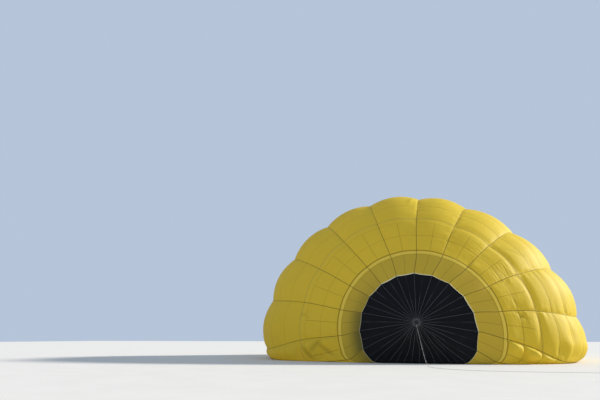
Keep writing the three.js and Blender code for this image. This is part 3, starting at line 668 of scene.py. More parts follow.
def crown_line_route():
    """From the ring to the ground and off to the right, then the coil that holds the rest."""
    ring_y = CROWN.y - COLLAR_HALF - RING_WIRE - SEAT
    ring_low = CROWN.z - RING_RADIUS - RING_WIRE - SEAT
    coil = Vector((10.2, -6.2))
    outside = COIL_MIDDLE + (COIL_COLUMNS - 1) * ROPE
    points = [
        (0, ring_y, ring_low), (0, ring_y, ring_low - 0.06), (0.125, -0.87, 1.66), (0.26, -1.25, 0.9),
        (0.385, -1.68, 0.3), (0.48, -2.15, 0.03), (0.56, -2.9, ROPE), (0.9, -4.3, ROPE), (2.4, -5.7, ROPE),
        (5.0, -6.3, ROPE), (7.8, -6.2, ROPE), (coil.x - 0.5, coil.y - outside, ROPE),
        (coil.x - 0.061, coil.y - outside, ROPE),
    ]
    loose = raised(smooth_route(np.array(points), 0.12), ROPE)
    per_turn = 24
    wound = []
    for turn in range(COIL_COLUMNS * COIL_LAYERS):
        layer, column = divmod(turn, COIL_COLUMNS)
        inward = layer % 2 == 0
        last_column = column == COIL_COLUMNS - 1
        radius = outside - 2 * ROPE * (column if inward else COIL_COLUMNS - 1 - column)
        height = ROPE * (1 + 2 * layer)
        for k in range(per_turn):
            step_over = smoothstep(k / per_turn, 0.85, 1.0)
            change = 0 if last_column else (-2 * ROPE if inward else 2 * ROPE)
            angle = -math.pi / 2 + 2 * math.pi * k / per_turn
            r = radius + change * step_over
            z = height + (2 * ROPE * step_over if last_column and layer < COIL_LAYERS - 1 else 0)
            wound.append((coil.x + r * math.cos(angle), coil.y + r * math.sin(angle), z))
    return placed(np.concatenate([loose, wound]))


def add_crown_line():
    route = crown_line_route()
    points, faces = tube(route, ROPE, 10)
    line = mesh_object("crown_line_rope", points, faces, rope_material)
    along = distances(route)
    set_uv(line, "tape", loop_uv(np.arange(10) / 10, along))
    sleeve_points, sleeve_faces = tube(route[-4:], ROPE * 1.25, 14)
    sleeve = mesh_object("crown_line_whipping", sleeve_points, sleeve_faces, ring_steel)
    for piece in (line, sleeve):
        settle(piece, "balloon", "rope")
    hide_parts("crown_line", "crown_line_coil")


add_crown_line()


# The envelope

def waves(run, around, seed, count=9, low=0.3, high=1.1):
    """Gentle swells, as a sum of sine waves in random directions, between about -1 and 1."""
    draw = np.random.default_rng(seed)
    total = 0
    for _ in range(count):
        angle, phase, rate = draw.uniform(0, math.pi), draw.uniform(0, 2 * math.pi), draw.uniform(low, high)
        way = run * math.cos(angle) + around * math.sin(angle)
        total = total + np.sin(2 * math.pi * rate * way + phase)
    return total / math.sqrt(count)


def tucks_at(run, v, wide, gore):
    """How high each single crease or bulge of a gore stands, and how near to it each point is, 0 to 1."""
    found = []
    for row in TUCKS:
        tuck = dict(zip(TUCK_COLUMNS, row))
        if tuck["gore"] == gore:
            angle = math.radians(tuck["turned"])
            ahead, beside = run - tuck["run"], (v - tuck["v"]) * wide
            along = (ahead * math.cos(angle) + beside * math.sin(angle)) / tuck["long"]
            off = (beside * math.cos(angle) - ahead * math.sin(angle)) / tuck["wide"]
            found.append((tuck["stand"], np.exp(-along**2 - off**2)))
    return found


def relief(run, v, wide, height, place):
    """How far the cloth stands off the smooth lobe: panels, creases at the tapes, slack near the ground.
    The cloth in front of the valve stays where it is."""
    gore = place - 10
    across = (v - 0.5) * wide
    to_tape = np.minimum(v, 1 - v) * wide
    panel = PANEL_SWELL.get(gore, PLAIN_SWELL) * np.abs(np.sin(math.pi * run / PANEL))
    for row in FOLDS:
        fold = dict(zip(FOLD_COLUMNS, row))
        if fold["gore"] == gore:
            off = run - fold["run"] - 0.12 * (4 * v * (1 - v) - 0.5) * fold["depth"] / 0.1
            panel = panel - fold["depth"] * np.exp(-((off / fold["wide"]) ** 2)) * (4 * v * (1 - v)) ** 0.5
    for stand, amount in tucks_at(run, v, wide, gore):
        panel = panel + stand * amount
    swell = SWELL * waves(run, across, 100 + place, low=0.1, high=0.35)
    creases = TAPE_CREASES * waves(run, across * 0.25, 200 + place, low=0.8, high=2.2)
    creases = creases * np.exp(-to_tape / 0.45)
    sag = SAG * waves(run, across, 300 + place, low=0.25, high=0.8) * smoothstep(height, 3.2, 0.6)
    seated = smoothstep(height, 0.02, 0.5) * smoothstep(run, PANEL, PANEL + 0.7)
    return (panel + swell + creases + sag) * smoothstep(to_tape, 0, 0.2) * seated


def wear_and_painted_shade(runs, v, place, wide):
    """How wrinkled a gore's cloth is and how much painted shade it has, from 0 to 1, for each run and place
    across it. The painted shade lies beside the vent, and in the creases, where the cloth is doubled."""
    gore = place - 10
    run = runs[:, None]
    wrinkled = np.zeros((len(runs), len(v)))
    for row in WRINKLES:
        field = dict(zip(WRINKLE_COLUMNS, row))
        if field["gore"] == gore:
            ends = smoothstep(run, field["low"] - 0.3, field["low"] + 0.3)
            ends = ends * smoothstep(run, field["high"] + 0.3, field["high"] - 0.3)
            wrinkled = wrinkled + field["strength"] * ends * np.exp(-(((v - field["v"]) / 0.3) ** 2))
    # Painted shade beside the vent
    dark = np.exp(-((run / 0.85) ** 2)) * PAINTED_SHADE_BESIDE_VENT.get(gore, 0) + 0 * v
    # Painted shade in the creases, where the cloth lies doubled
    for stand, amount in tucks_at(run, v, wide[:, None], gore):
        dark = dark + max(0, -stand - 0.02) * 5 * amount
    return np.stack([wrinkled, np.minimum(dark, 1)], axis=-1).reshape(-1, 2)


def envelope_rows():
    """The envelope's points, for each run, gore and place across the gore, with the widths at each run.
    The free edge of the cloth between two tapes is drawn towards the middle of the vent."""
    lefts = np.arange(-10, 10)
    v = (1 - np.cos(np.linspace(0, math.pi, ACROSS + 1))) / 4 + np.linspace(0, 0.5, ACROSS + 1)
    inside = v.copy()
    inside[-1] -= 1e-6
    gore = (lefts[:, None] + inside[None, :]).ravel()
    runs = np.linspace(0, GORE_RUN, PANELS * ROWS_PER_PANEL + 1)
    rows = []
    widths = []
    for run in runs:
        points = cloth_points(run, gore)
        wide = gore_widths(run, lefts + 0.5)
        height = points[:, 2].reshape(GORES, -1)
        stand = [relief(run, v, wide[n], height[n], n) for n in range(GORES)]
        points = points + body_normals(run, gore) * np.concatenate(stand)[:, None]
        rows.append(raised(points, CLOTH_LIFT).reshape(GORES, len(v), 3))
        widths.append(wide)
    rows = np.array(rows)
    inward = rows[0] - rows[2]
    inward = unit(inward)
    fade = np.clip(1 - runs / SCALLOP_RUN, 0, 1) ** 2
    reach = SCALLOP * (4 * v * (1 - v)) ** 0.8
    rows = rows + fade[:, None, None, None] * reach[None, None, :, None] * inward[None]
    return rows, runs, v, np.array(widths)


def add_gores(rows, runs, v, widths):
    for n in range(GORES):
        grid = rows[:, n]
        wide = widths[:, n]
        name = f"gore_{(n - 10) % GORES + 1:02d}"
        faces = grid_faces(len(runs), len(v))
        cloth = mesh_object(name + "_cloth", placed(grid.reshape(-1, 3)), faces, cloth_material)
        gore_uv = np.stack(np.broadcast_arrays(v[None, :], runs[:, None] / PANEL), axis=-1)
        metre_uv = np.stack(np.broadcast_arrays((v[None, :] - 0.5) * wide[:, None], runs[:, None]), axis=-1)
        set_uv(cloth, "cloth", metre_uv.reshape(-1, 2))
        set_uv(cloth, "gore", gore_uv.reshape(-1, 2))
        set_uv(cloth, "wear_and_painted_shade", wear_and_painted_shade(runs, v, n, wide))
        settle(cloth, "balloon", "envelope_cloth", name)


def ribbon(middle, side, normal, wide, thick, caps=True):
    """Points, faces and UV values of a flat strap along a line, with its side and normal directions."""
    side, normal = np.asarray(side, float), np.asarray(normal, float)
    columns = [middle + side * (s * wide / 2) + normal * (n * thick / 2) for s, n in CORNER_SIGNS]
    points = np.stack(columns, axis=1).reshape(-1, 3)
    return points, loop_faces(len(middle), 4, caps=caps), loop_uv((-0.5, 0.5, 0.5, -0.5), distances(middle))


def add_load_tapes():
    """A narrow webbing tape is sewn along each seam between two gores."""
    shapes = Shapes()
    runs = np.linspace(0.0, GORE_RUN, PANELS * TAPE_ROWS_PER_PANEL + 1)
    for tape in range(-9, 11):
        middle = np.array([cloth_points(run, [tape])[0] for run in runs])
        normal = np.array([body_normals(run, [tape])[0] for run in runs])
        side = unit(np.cross(np.gradient(middle, axis=0), normal))
        middle = raised(middle + normal * TAPE_LIFT, LOAD_TAPE["thick"])
        shapes.add(*ribbon(middle, side, normal, LOAD_TAPE["wide"], LOAD_TAPE["thick"]))
    shapes.place()
    settle(shapes.build("load_tapes", yellow_webbing), "balloon", "webbing")


def valve_points():
    """Rows of points from the valve's rim, behind the first row of panels, to its middle."""
    per_gore = 12
    gore = np.arange(GORES * per_gore) / per_gore - GORES / 2
    depth = SKIN + VALVE_GAP
    rows = []
    for run in np.linspace(PANEL, 0, 6):
        points = raised(cloth_points(run, gore, depth), depth)
        points[:, 1] += VALVE_BACK
        rows.append(points)
    lip = rows[-1]
    middle = np.array(CROWN) + (0, VALVE_BEHIND, 0)
    v = gore - np.floor(gore)
    to_middle = np.linalg.norm(lip - middle, axis=1)
    for share in np.linspace(0, 1, 29)[1:]:
        back = np.interp(share, (0, 0.12, 0.5, 1), (0, 0.038, 0.034, 0))
        radius = to_middle * (1 - share)
        bulge = VALVE_BULGE * np.sin(math.pi * v) ** 2 * radius / 4 * smoothstep(share, 0.02, 0.3)
        points = lip + (middle - lip) * share
        points[:, 1] += back - bulge
        rows.append(points)
    return np.array(rows), gore


def add_valve():
    rows, gore = valve_points()
    grid = rows[:-1]
    cols = len(gore)
    points = np.concatenate([grid.reshape(-1, 3), rows[-1][:1]])
    faces = [tuple(f)[::-1] for f in grid_faces(len(grid), cols, closed=True)]
    last = (len(grid) - 1) * cols
    faces += [(last + (k + 1) % cols, last + k, len(points) - 1) for k in range(cols)]
    valve = mesh_object("valve_cloth", placed(points), faces, valve_material)
    radius = np.linalg.norm(points - rows[-1][0], axis=1)
    places = np.append(np.tile(gore, len(grid)), 0.0)
    set_uv(valve, "gore", np.stack([places, radius / 4], axis=1))
    set_uv(valve, "cloth", np.stack([places, radius], axis=1))
    settle(valve, "valve", "valve_cloth", "parachute_valve")


def upright_circle(angle, radius, y):
    """Points at some angles on a circle that faces along Y."""
    return np.stack([radius * np.cos(angle), np.full(len(angle), y), radius * np.sin(angle)], axis=1)


def add_vent_tapes():
    """Each load tape runs on across the vent to the collar at the crown ring. The lower ones hang slack."""
    shapes = Shapes()
    crown = np.array(CROWN)
    for tape in range(-9, 11):
        root = cloth_points(0, [tape], SKIN / 2)[0]
        out = unit((root - crown) * (1, 0, 1))
        start = crown + out * TAPE_FROM
        share = np.linspace(0, 1, 25)[:, None]
        middle = start + (root - start) * share
        side = np.cross(out, (0, 1, 0))
        slack = max(0, abs(tape) - 4) / 6
        sway = np.sin(math.pi * share * 2 + tape) * VENT_TAPE["slack"] * slack * np.sin(math.pi * share)
        middle = raised(middle + side * sway, TAPE_LIFT)
        shapes.add(*ribbon(middle, side, TO_CAMERA, VENT_TAPE["wide"], VENT_TAPE["thick"]))
        lap = np.linspace(start + (0, -0.005, 0), start + out * (LAP_OUT - TAPE_FROM) + (0, -0.004, 0), 4)
        shapes.add(*ribbon(lap, side, TO_CAMERA, VENT_TAPE["lap_wide"], VENT_TAPE["thick"]))
    angle = np.linspace(0, 2 * math.pi, 81)
    for radius, offset in ((COLLAR_IN + 0.02, -0.003), (COLLAR_OUT - 0.02, -0.004)):
        circle = upright_circle(angle, radius, offset) + crown
        outward = upright_circle(angle, 1, 0)
        shapes.add(*ribbon(circle, outward, TO_CAMERA, VENT_TAPE["ring_wide"], VENT_TAPE["thick"], False))
    shapes.place()
    settle(shapes.build("vent_webbing", grey_webbing), "balloon", "webbing", "vent_tapes")


def add_crown_ring():
    angle = np.linspace(0, 2 * math.pi, 65)[:-1]
    y = CROWN.y - COLLAR_HALF - RING_WIRE - SEAT
    circle = upright_circle(angle, RING_RADIUS, y) + (CROWN.x, 0, CROWN.z)
    ring = mesh_object("crown_ring_round", *tube(placed(circle), RING_WIRE, 16, closed=True), ring_steel)
    settle(ring, "balloon", "steel", "crown_ring")
    shapes = Shapes()
    turn = np.linspace(0, 2 * math.pi, 17)
    for loop in range(GORES):
        around = 2 * math.pi * (loop + 0.5) / GORES
        out = np.array([math.cos(around), 0, math.sin(around)])
        tangent = np.array([-math.sin(around), 0, math.cos(around)])
        normal = np.cos(turn)[:, None] * out + np.sin(turn)[:, None] * np.array(TO_CAMERA)
        middle = np.array([CROWN.x, y, CROWN.z]) + out * RING_RADIUS + normal * (RING_WIRE + 0.002)
        shapes.add(*ribbon(middle, tangent, normal, RING_LOOP["wide"], RING_LOOP["thick"], False))
    shapes.place()
    settle(shapes.build("ring_loops", dark_webbing), "balloon", "webbing")


def add_vent_hem(rows, v):
    """A pale webbing hem closes the edge of the cloth round the vent. Where it is widened on some gores,
    its pale strip is a painted highlight on the sunlit edge.
    """
    shapes = Shapes()
    for n in range(GORES):
        inward = unit(rows[0, n] - rows[1, n])
        normal = body_normals(0.0, n - 10 + v)
        middle = rows[0, n] + normal * 0.003 - inward * 0.008
        shapes.add(*ribbon(middle, inward, normal, HEM_SHOWS.get(n - 10, PLAIN_HEM), VENT_TAPE["thick"]))
    shapes.place()
    settle(shapes.build("vent_hem", pale_webbing), "balloon", "webbing")


def add_mouth_hem():
    gore = np.arange(GORES * 12 + 1) / 12 - GORES / 2
    outer = cloth_points(GORE_RUN, gore[:-1])
    outer = np.vstack([outer, outer[:1]])
    middle = outer + (0, HEM_WIDE / 2, 0)
    normal = body_normals(GORE_RUN, gore)
    middle = raised(middle - normal * (SKIN / 2), TAPE_LIFT)
    shapes = Shapes()
    shapes.add(*ribbon(middle, (0, 1, 0), normal, HEM_WIDE, 0.006, False))
    shapes.place()
    settle(shapes.build("mouth_hem_webbing", grey_webbing), "balloon", "webbing", "mouth_hem")


rows, runs, places, widths = envelope_rows()
add_gores(rows, runs, places, widths)
add_load_tapes()
add_valve()
add_vent_tapes()
add_crown_ring()
add_vent_hem(rows, places)
add_mouth_hem()


# The basket and the burners are drawn standing, on runners at z = 0, and laid on a long side at the end.

BASKET_LONG = 3.6
BASKET_WIDE = 1.6
BASKET_HIGH = 1.15
WALL = 0.04
CORNER = 0.16
RIM_HIGH = 0.084
PROUD = 0.025                    # the rim and the foot band stand proud of the wicker
FOOT_LOW = 0.04
FOOT_HIGH = 0.17
WALL_LOW = 0.0653
WALL_TOP = BASKET_HIGH - RIM_HIGH - SEAT
PILOT = 0.45                     # half length of the pilot's place in the middle
RIM = {"half": 0.045, "round": 0.034, "reach_x": 1.77, "reach_y": 0.77, "lacing": 0.2}
HANDLE = {"half": 0.08, "drop": 0.11, "rope": 0.009, "z": 0.93}
STEP = {"x": 1.1, "z": 0.52, "wide": 0.22, "high": 0.14}
POST = {"x": 1.16, "y": 0.78}
UPRIGHTS = {"upper_right": (1, 1), "lower_right": (1, -1), "lower_left": (-1, -1), "upper_left": (-1, 1)}
FRAME = {"x": 0.95, "y": 0.56, "z": 2.08, "tube": 0.02, "block": 0.032, "rail": 0.52}
LUG = {"thick": 0.008, "wide": 0.054, "high": 0.058, "hole": 0.013}
GIMBAL = {"half": 0.43, "tube": 0.018, "pin": 0.009}
BEARING = {"bore": 0.0096, "half": 0.022, "on_frame": 0.028, "on_gimbal": 0.025}
BURNER = {"spread": 0.19, "radius": 0.165, "foot": 0.03, "high": 0.47, "coil": 0.009}
JETS = {"radius": 0.075, "tube": 0.009, "count": 12, "high": 0.04}
STRUT = {"out": 0.142, "radius": 0.005}
TANK = {"radius": 0.17, "high": 0.88, "x": 0.24, "collar": 0.08}
STRAP = {"wide": 0.05, "thick": 0.003, "heights": (0.32, 0.68)}
LAID_PLACE = SHIFT + Vector((0, LAID_Y, BASKET_WIDE / 2 + PROUD))
LAID = Matrix.Translation(LAID_PLACE) @ Matrix.Rotation(math.pi / 2, 4, "X")


def outline(grow, step):
    """Points at equal steps round the basket's outline, with the direction outwards and the distance."""
    half = np.array([BASKET_LONG / 2 + grow, BASKET_WIDE / 2 + grow])
    r = CORNER + grow
    angle = np.linspace(0, math.pi / 2, 33)
    corners = []
    for turn, sign in enumerate(((1, 1), (-1, 1), (-1, -1), (1, -1))):
        bend = angle + turn * math.pi / 2
        corners.append((half - r) * sign + r * np.stack([np.cos(bend), np.sin(bend)], axis=1))
    ring = np.concatenate(corners + [corners[0][:1]])
    way = distances(ring)
    count = int(way[-1] / step)
    along = np.arange(count) * way[-1] / count
    path = np.stack([np.interp(along, way, ring[:, 0]), np.interp(along, way, ring[:, 1])], axis=1)
    ahead = np.roll(path, -1, axis=0) - np.roll(path, 1, axis=0)
    ahead = unit(ahead)
    return path, np.stack([ahead[:, 1], -ahead[:, 0]], axis=1), along


def straight(start, end, step):
    """The same for a straight path, with the outward side on its right."""
    start, end = np.array(start, float), np.array(end, float)
    length = np.linalg.norm(end - start)
    count = max(2, int(length / step) + 1)
    share = np.linspace(0, 1, count)
    ahead = (end - start) / length
    return start + share[:, None] * (end - start), np.tile((ahead[1], -ahead[0]), (count, 1)), share * length


def rounded_profile(out_low, out_high, low, high, radius, steps=5):
    """A rectangle with round corners: pairs of distance outwards and height."""
    angle = np.linspace(0, math.pi / 2, steps + 1)
    points = []
    corners = ((out_high, high), (out_low, high), (out_low, low), (out_high, low))
    for turn, (o, z) in enumerate(corners):
        centre = (o - radius * (1 if turn in (0, 3) else -1), z - radius * (1 if turn in (0, 1) else -1))
        bend = angle + turn * math.pi / 2
        points += [(centre[0] + radius * math.cos(a), centre[1] + radius * math.sin(a)) for a in bend]
    return np.array(points)


def swept(profile, route, closed, swell=None):
    """A closed profile carried along a level path. Swell scales it about its middle, point by point.
    The route has the path, its outward directions and its distances."""
    path, outward, along = route
    middle = profile.mean(axis=0)
    scale = np.ones(len(path)) if swell is None else swell(along)
    local = middle + (profile - middle)[None] * scale[:, None, None]
    level = path[:, None, :] + outward[:, None, :] * local[:, :, :1]
    points = np.concatenate([level, local[:, :, 1:]], axis=2).reshape(-1, 3)
    return points, loop_faces(len(path), len(profile), closed), loop_uv(distances(profile), along)


ONTO_X = np.array([[0, 0, 1], [0, 1, 0], [-1, 0, 0]])
ONTO_Y = np.array([[1, 0, 0], [0, 0, 1], [0, -1, 0]])


def lathe(profile, segments, centre=(0, 0, 0), axis=None):
    """A turned shape from pairs of radius and height, closed at both ends where the profile is open.
    It stands upright, or its axis is turned onto X or Y."""
    profile = np.array(profile, float)
    angle = np.arange(segments) * 2 * math.pi / segments
    ring = np.stack([np.cos(angle), np.sin(angle)], axis=1)
    heights = np.broadcast_to(profile[:, None, 1:], (len(profile), segments, 1))
    points = np.concatenate([profile[:, None, :1] * ring[None], heights], axis=2).reshape(-1, 3)
    if axis is not None:
        points = points @ axis
    faces = loop_faces(len(profile), segments, caps=not np.allclose(profile[0], profile[-1]))
    return points + np.array(centre), [f[::-1] for f in faces]


def rounded_box(size, radius, centre=(0, 0, 0)):
    """A box with rounded edges."""
    made = bmesh.new()
    bmesh.ops.create_cube(made, size=1)
    bmesh.ops.scale(made, vec=size, verts=made.verts)
    bmesh.ops.bevel(made, geom=made.edges[:], offset=radius, segments=3, profile=0.5, affect="EDGES")
    made.verts.index_update()
    points = np.array([v.co for v in made.verts]) + np.array(centre)
    faces = [tuple(v.index for v in f.verts) for f in made.faces]
    made.free()
    return points, faces


def without_pattern(piece):
    """Gives a small piece one place on its material's pattern."""
    set_uv(piece, "tape", np.zeros((len(piece.data.vertices), 2)))
    return piece


def lay(piece, body, slot_name, *nodes):
    """Lays a piece that was drawn standing, and tells the frame what it rides on and stands for."""
    piece.data.transform(LAID)
    settle(piece, body, slot_name, *nodes)
    return piece


def wicker():
    """Willow rods woven over upright stakes. U goes along the wall and V up it, in metres."""
    g = Graph("wicker")
    u, w = g.uv("weave")
    stake = g.math("DIVIDE", u, 0.055)
    row = g.math("DIVIDE", w, 0.013)
    row_number = g.math("FLOOR", row)
    in_row = g.minus(g.times(g.math("FRACT", row), 2.0), 1.0)
    round_rod = g.minus(1.0, g.times(in_row, in_row))
    phase = g.times(g.plus(stake, row_number), math.pi)
    over = g.plus(0.5, g.times(g.math("COSINE", phase), 0.5))
    rod = g.times(round_rod, g.plus(0.25, g.times(over, 0.75)))
    tone = g.noise(g.vector(g.times(u, 3.0), g.times(row_number, 1.7)), 1.0, 3.0, 0.6)
    age = g.noise(g.place(), 1.6, 4.0)
    color = g.mix(tone, (0.42, 0.24, 0.09), (0.25, 0.12, 0.04))
    color = g.mix(g.times(age, 0.35), color, (0.50, 0.34, 0.16))
    # Painted shade in the gaps between the rods and where a rod dips under a stake
    color = g.mix(g.ramp(rod, 0.0, 0.35, 0.75, 0.0), color, (0.05, 0.025, 0.01))
    grain = g.noise(g.vector(g.times(u, 8.0), g.times(w, 260.0)), 1.0, 3.0)
    normal = g.bump(rod, 0.009)
    normal = g.bump(grain, 0.0006, normal)
    return g.finish(g.principled(color, 0.55, normal, Specular_IOR_Level=0.35))


def leather(name, color, worn, stitch_at=None):
    """Grained hide with rubbed patches, and a stitched seam at a place round the piece where one is given."""
    g = Graph(name)
    around, along = g.uv("tape")
    grain = g.node("ShaderNodeTexVoronoi", feature="DISTANCE_TO_EDGE")
    g.feed(grain.inputs["Vector"], g.place())
    grain.inputs["Scale"].default_value = 420.0
    rubbed = g.noise(g.place(), 7.0, 5.0, 0.65)
    tone = g.mix(g.ramp(rubbed, 0.45, 0.75), color, worn)
    normal = g.bump(g.ramp(grain.outputs[0], 0.0, 0.12), 0.0006)
    normal = g.bump(rubbed, 0.002, normal)
    if stitch_at is not None:
        seam = g.line(around, stitch_at, 0.004)
        stitch = g.times(g.line(around, stitch_at + 0.006, 0.003),
                        g.ramp(g.math("SINE", g.times(along, 2 * math.pi / 0.009)), -0.3, 0.1))
        tone = g.mix(stitch, tone, (0.62, 0.52, 0.36))
        tone = g.mix(g.times(seam, 0.7), tone, (0.02, 0.012, 0.008))
        normal = g.bump(g.minus(stitch, seam), 0.002, normal)
    rough = g.ramp(rubbed, 0.3, 0.8, 0.62, 0.42)
    return g.finish(g.principled(tone, rough, normal, Specular_IOR_Level=0.4))


def plywood():
    """Sealed birch plywood: long grain on its faces and dark and pale layers on its edges."""
    g = Graph("plywood")
    apart = g.node("ShaderNodeSeparateXYZ")
    g.feed(apart.inputs[0], g.place())
    x, y, z = apart.outputs
    grain = g.noise(g.vector(g.times(x, 1.2), g.times(z, 26.0), g.times(y, 26.0)), 1.0, 5.0, 0.6, 0.4)
    layer = g.math("SINE", g.times(y, 2 * math.pi / 0.005))
    color = g.mix(grain, (0.52, 0.34, 0.16), (0.32, 0.18, 0.07))
    color = g.mix(g.ramp(layer, 0.0, 0.4, 0.0, 0.25), color, (0.2, 0.11, 0.05))
    scuffs = g.noise(g.place(), 12.0, 5.0, 0.7)
    color = g.mix(g.ramp(scuffs, 0.55, 0.8, 0.0, 0.4), color, (0.22, 0.17, 0.12))
    return g.finish(g.principled(color, 0.5, g.bump(grain, 0.0008), Specular_IOR_Level=0.4))


def brushed_cylinder():
    """Dull stainless steel with a rolled weld round the middle. V is the height, in metres."""
    g = Graph("brushed_cylinder")
    around, up = g.uv("tape")
    brushed = g.noise(g.vector(g.times(around, 2.0), g.times(up, 500.0)), 1.0, 2.0)
    cloud = g.noise(g.place(), 5.0, 4.0)
    weld = g.line(up, 0.46, 0.012)
    tone = g.mix(cloud, (0.58, 0.59, 0.60), (0.42, 0.43, 0.44))
    tone = g.mix(g.times(weld, 0.5), tone, (0.25, 0.22, 0.2))
    normal = g.bump(brushed, 0.0004)
    normal = g.bump(weld, 0.003, normal)
    return g.finish(g.principled(tone, g.plus(0.28, g.times(cloud, 0.2)), normal, Metallic=1.0))


wicker_material = wicker()
rim_leather = leather("rim_leather", (0.10, 0.045, 0.018), (0.24, 0.12, 0.055), 0.115)
foot_leather = leather("foot_leather", (0.085, 0.04, 0.018), (0.2, 0.11, 0.055), 0.02)
sleeve_leather = leather("sleeve_leather", (0.12, 0.055, 0.022), (0.22, 0.11, 0.05), 0.05)
plywood_material = plywood()
cylinder_material = brushed_cylinder()
frame_steel = steel("frame_steel", (0.62, 0.63, 0.65), 0.3)
coil_steel = steel("coil_steel", (0.46, 0.38, 0.30), 0.35)
cable_steel = steel("cable_steel", (0.5, 0.5, 0.52), 0.4)
brass = steel("brass", (0.78, 0.56, 0.22), 0.28)
dial_white = leather("dial_white", (0.75, 0.75, 0.72), (0.7, 0.7, 0.67))
handle_rubber = leather("handle_rubber", (0.02, 0.02, 0.022), (0.04, 0.04, 0.045))
black_webbing = webbing("black_webbing", (0.02, 0.02, 0.024), (0.045, 0.045, 0.05))


def wall_grid(path, outward, along, holes=()):
    """A thick wall of woven basket along a path. A hole has (along_low, along_high, low, high)."""
    hole_edges = [h for hole in holes for h in hole[2:]]
    rise = np.unique(np.concatenate([np.linspace(WALL_LOW, WALL_TOP, 22), hole_edges]))
    rows, cols = len(rise), len(path)
    shapes = Shapes()
    half = WALL / 2
    for side in (1, -1):
        ripple = 0.0012 * np.sin(along * 19)[None, :] * np.sin(rise * 11)[:, None]
        off = side * (half - 0.0015 + ripple)
        x = path[None, :, 0] + outward[None, :, 0] * off
        y = path[None, :, 1] + outward[None, :, 1] * off
        z = np.broadcast_to(rise[:, None], (rows, cols))
        faces = []
        for i, k in np.ndindex(rows - 1, cols - 1):
            middle_along = (along[k] + along[k + 1]) / 2
            middle_rise = (rise[i] + rise[i + 1]) / 2
            if any(a < middle_along < b and c < middle_rise < d for a, b, c, d in holes):
                continue
            face = (i * cols + k, i * cols + k + 1, (i + 1) * cols + k + 1, (i + 1) * cols + k)
            faces.append(face if side == 1 else face[::-1])
        shapes.add(np.stack([x, y, z], axis=-1).reshape(-1, 3), faces, loop_uv(along, rise))
    inner = rows * cols
    edge = [(0, k, 0, k + 1) for k in range(cols - 1)]
    edge += [(rows - 1, k + 1, rows - 1, k) for k in range(cols - 1)]
    edge += [(i + 1, 0, i, 0) for i in range(rows - 1)]
    edge += [(i, cols - 1, i + 1, cols - 1) for i in range(rows - 1)]
    for i, k, j, n in edge:
        shapes.faces.append((i * cols + k, inner + i * cols + k, inner + j * cols + n, j * cols + n))
    return shapes


def lay_wall(shapes, name):
    lay(shapes.build(name + "_wicker", wicker_material, "weave"), "balloon", "wicker", name)


def add_walls():
    half_y = BASKET_WIDE / 2 - WALL / 2
    flat = BASKET_LONG / 2 - CORNER
    hole_middles = [flat + s * STEP["x"] for s in (-1, 1)]
    hole_edges = [(middle - STEP["wide"] / 2, middle + STEP["wide"] / 2) for middle in hole_middles]
    holes = [(a, b, STEP["z"] - STEP["high"] / 2, STEP["z"] + STEP["high"] / 2) for a, b in hole_edges]
    for name, side in (("wall_lower", -1), ("wall_upper", 1)):
        along = np.unique(np.concatenate([np.linspace(0, 2 * flat, 66), np.ravel(hole_edges)]))
        path = np.stack([side * (flat - along), np.full(len(along), side * half_y)], axis=1)
        outward = np.tile((0.0, side), (len(along), 1))
        lay_wall(wall_grid(path, outward, along, holes), name)
        add_foot_holes(name, side)
    ring_path, ring_out, _ = outline(-WALL / 2, 0.03)
    for name, end in (("wall_left", -1), ("wall_right", 1)):
        chosen = np.where(end * ring_path[:, 0] > flat - 0.001)[0]
        jump = np.diff(np.append(chosen[-1] - len(ring_path), chosen)) > 1
        start = chosen[np.argmax(jump)] if end == 1 else chosen[0]
        order = (start + np.arange(len(chosen))) % len(ring_path)
        path, outward = ring_path[order], ring_out[order]
        first = np.array([[end * (flat + SEAT), -end * half_y]])
        last = np.array([[end * (flat + SEAT), end * half_y]])
        path = np.vstack([first, path[1:-1], last])
        outward[0], outward[-1] = (0, -end), (0, end)
        along = distances(path)
        lay_wall(wall_grid(path, outward, along), name)
    inside_x, inside_y = BASKET_LONG / 2 - WALL - SEAT, BASKET_WIDE / 2 - WALL - SEAT
    for name, end in (("partition_left", -1), ("partition_right", 1)):
        both = Shapes()
        crossing = ((end * PILOT, -inside_y), (end * PILOT, inside_y))
        lengthwise = ((end * (PILOT + WALL / 2), 0), (end * inside_x, 0))
        for start, finish in (crossing, lengthwise):
            wall = wall_grid(*straight(start, finish, 0.05))
            both.add(np.concatenate(wall.points), wall.faces, np.concatenate(wall.uvs))
        lay_wall(both, name)


# The leather edge of a foot hole: how deep each loop lies in the wall, and how far it is grown
FOOT_HOLE_RINGS = (
    (-0.021, 1.10), (-0.024, 1.03), (-0.018, 0.97), (0.018, 0.97), (0.024, 1.03), (0.021, 1.10),
)


def add_foot_holes(name, side):
    """A leather lining with rolled edges in each of a long wall's two foot holes."""
    shapes = Shapes()
    y = side * (BASKET_WIDE / 2 - WALL / 2)
    for end in (-1, 1):
        half = np.array([STEP["wide"] / 2, STEP["high"] / 2])
        loop = rounded_profile(-half[0], half[0], -half[1], half[1], 0.03, 6)
        centre = np.array([end * STEP["x"], STEP["z"]])
        rings = []
        for depth, grow in FOOT_HOLE_RINGS:
            flat = centre + loop * grow
            rings.append(np.stack([flat[:, 0], np.full(len(loop), y + depth), flat[:, 1]], axis=1))
        uv = loop_uv(np.linspace(0, 0.66, len(loop)), np.arange(len(rings)) * 0.012)[:, ::-1]
        shapes.add(np.concatenate(rings), grid_faces(len(rings), len(loop), closed=True), uv)
    lay(shapes.build(name + "_foot_holes", foot_leather), "balloon", "leather")


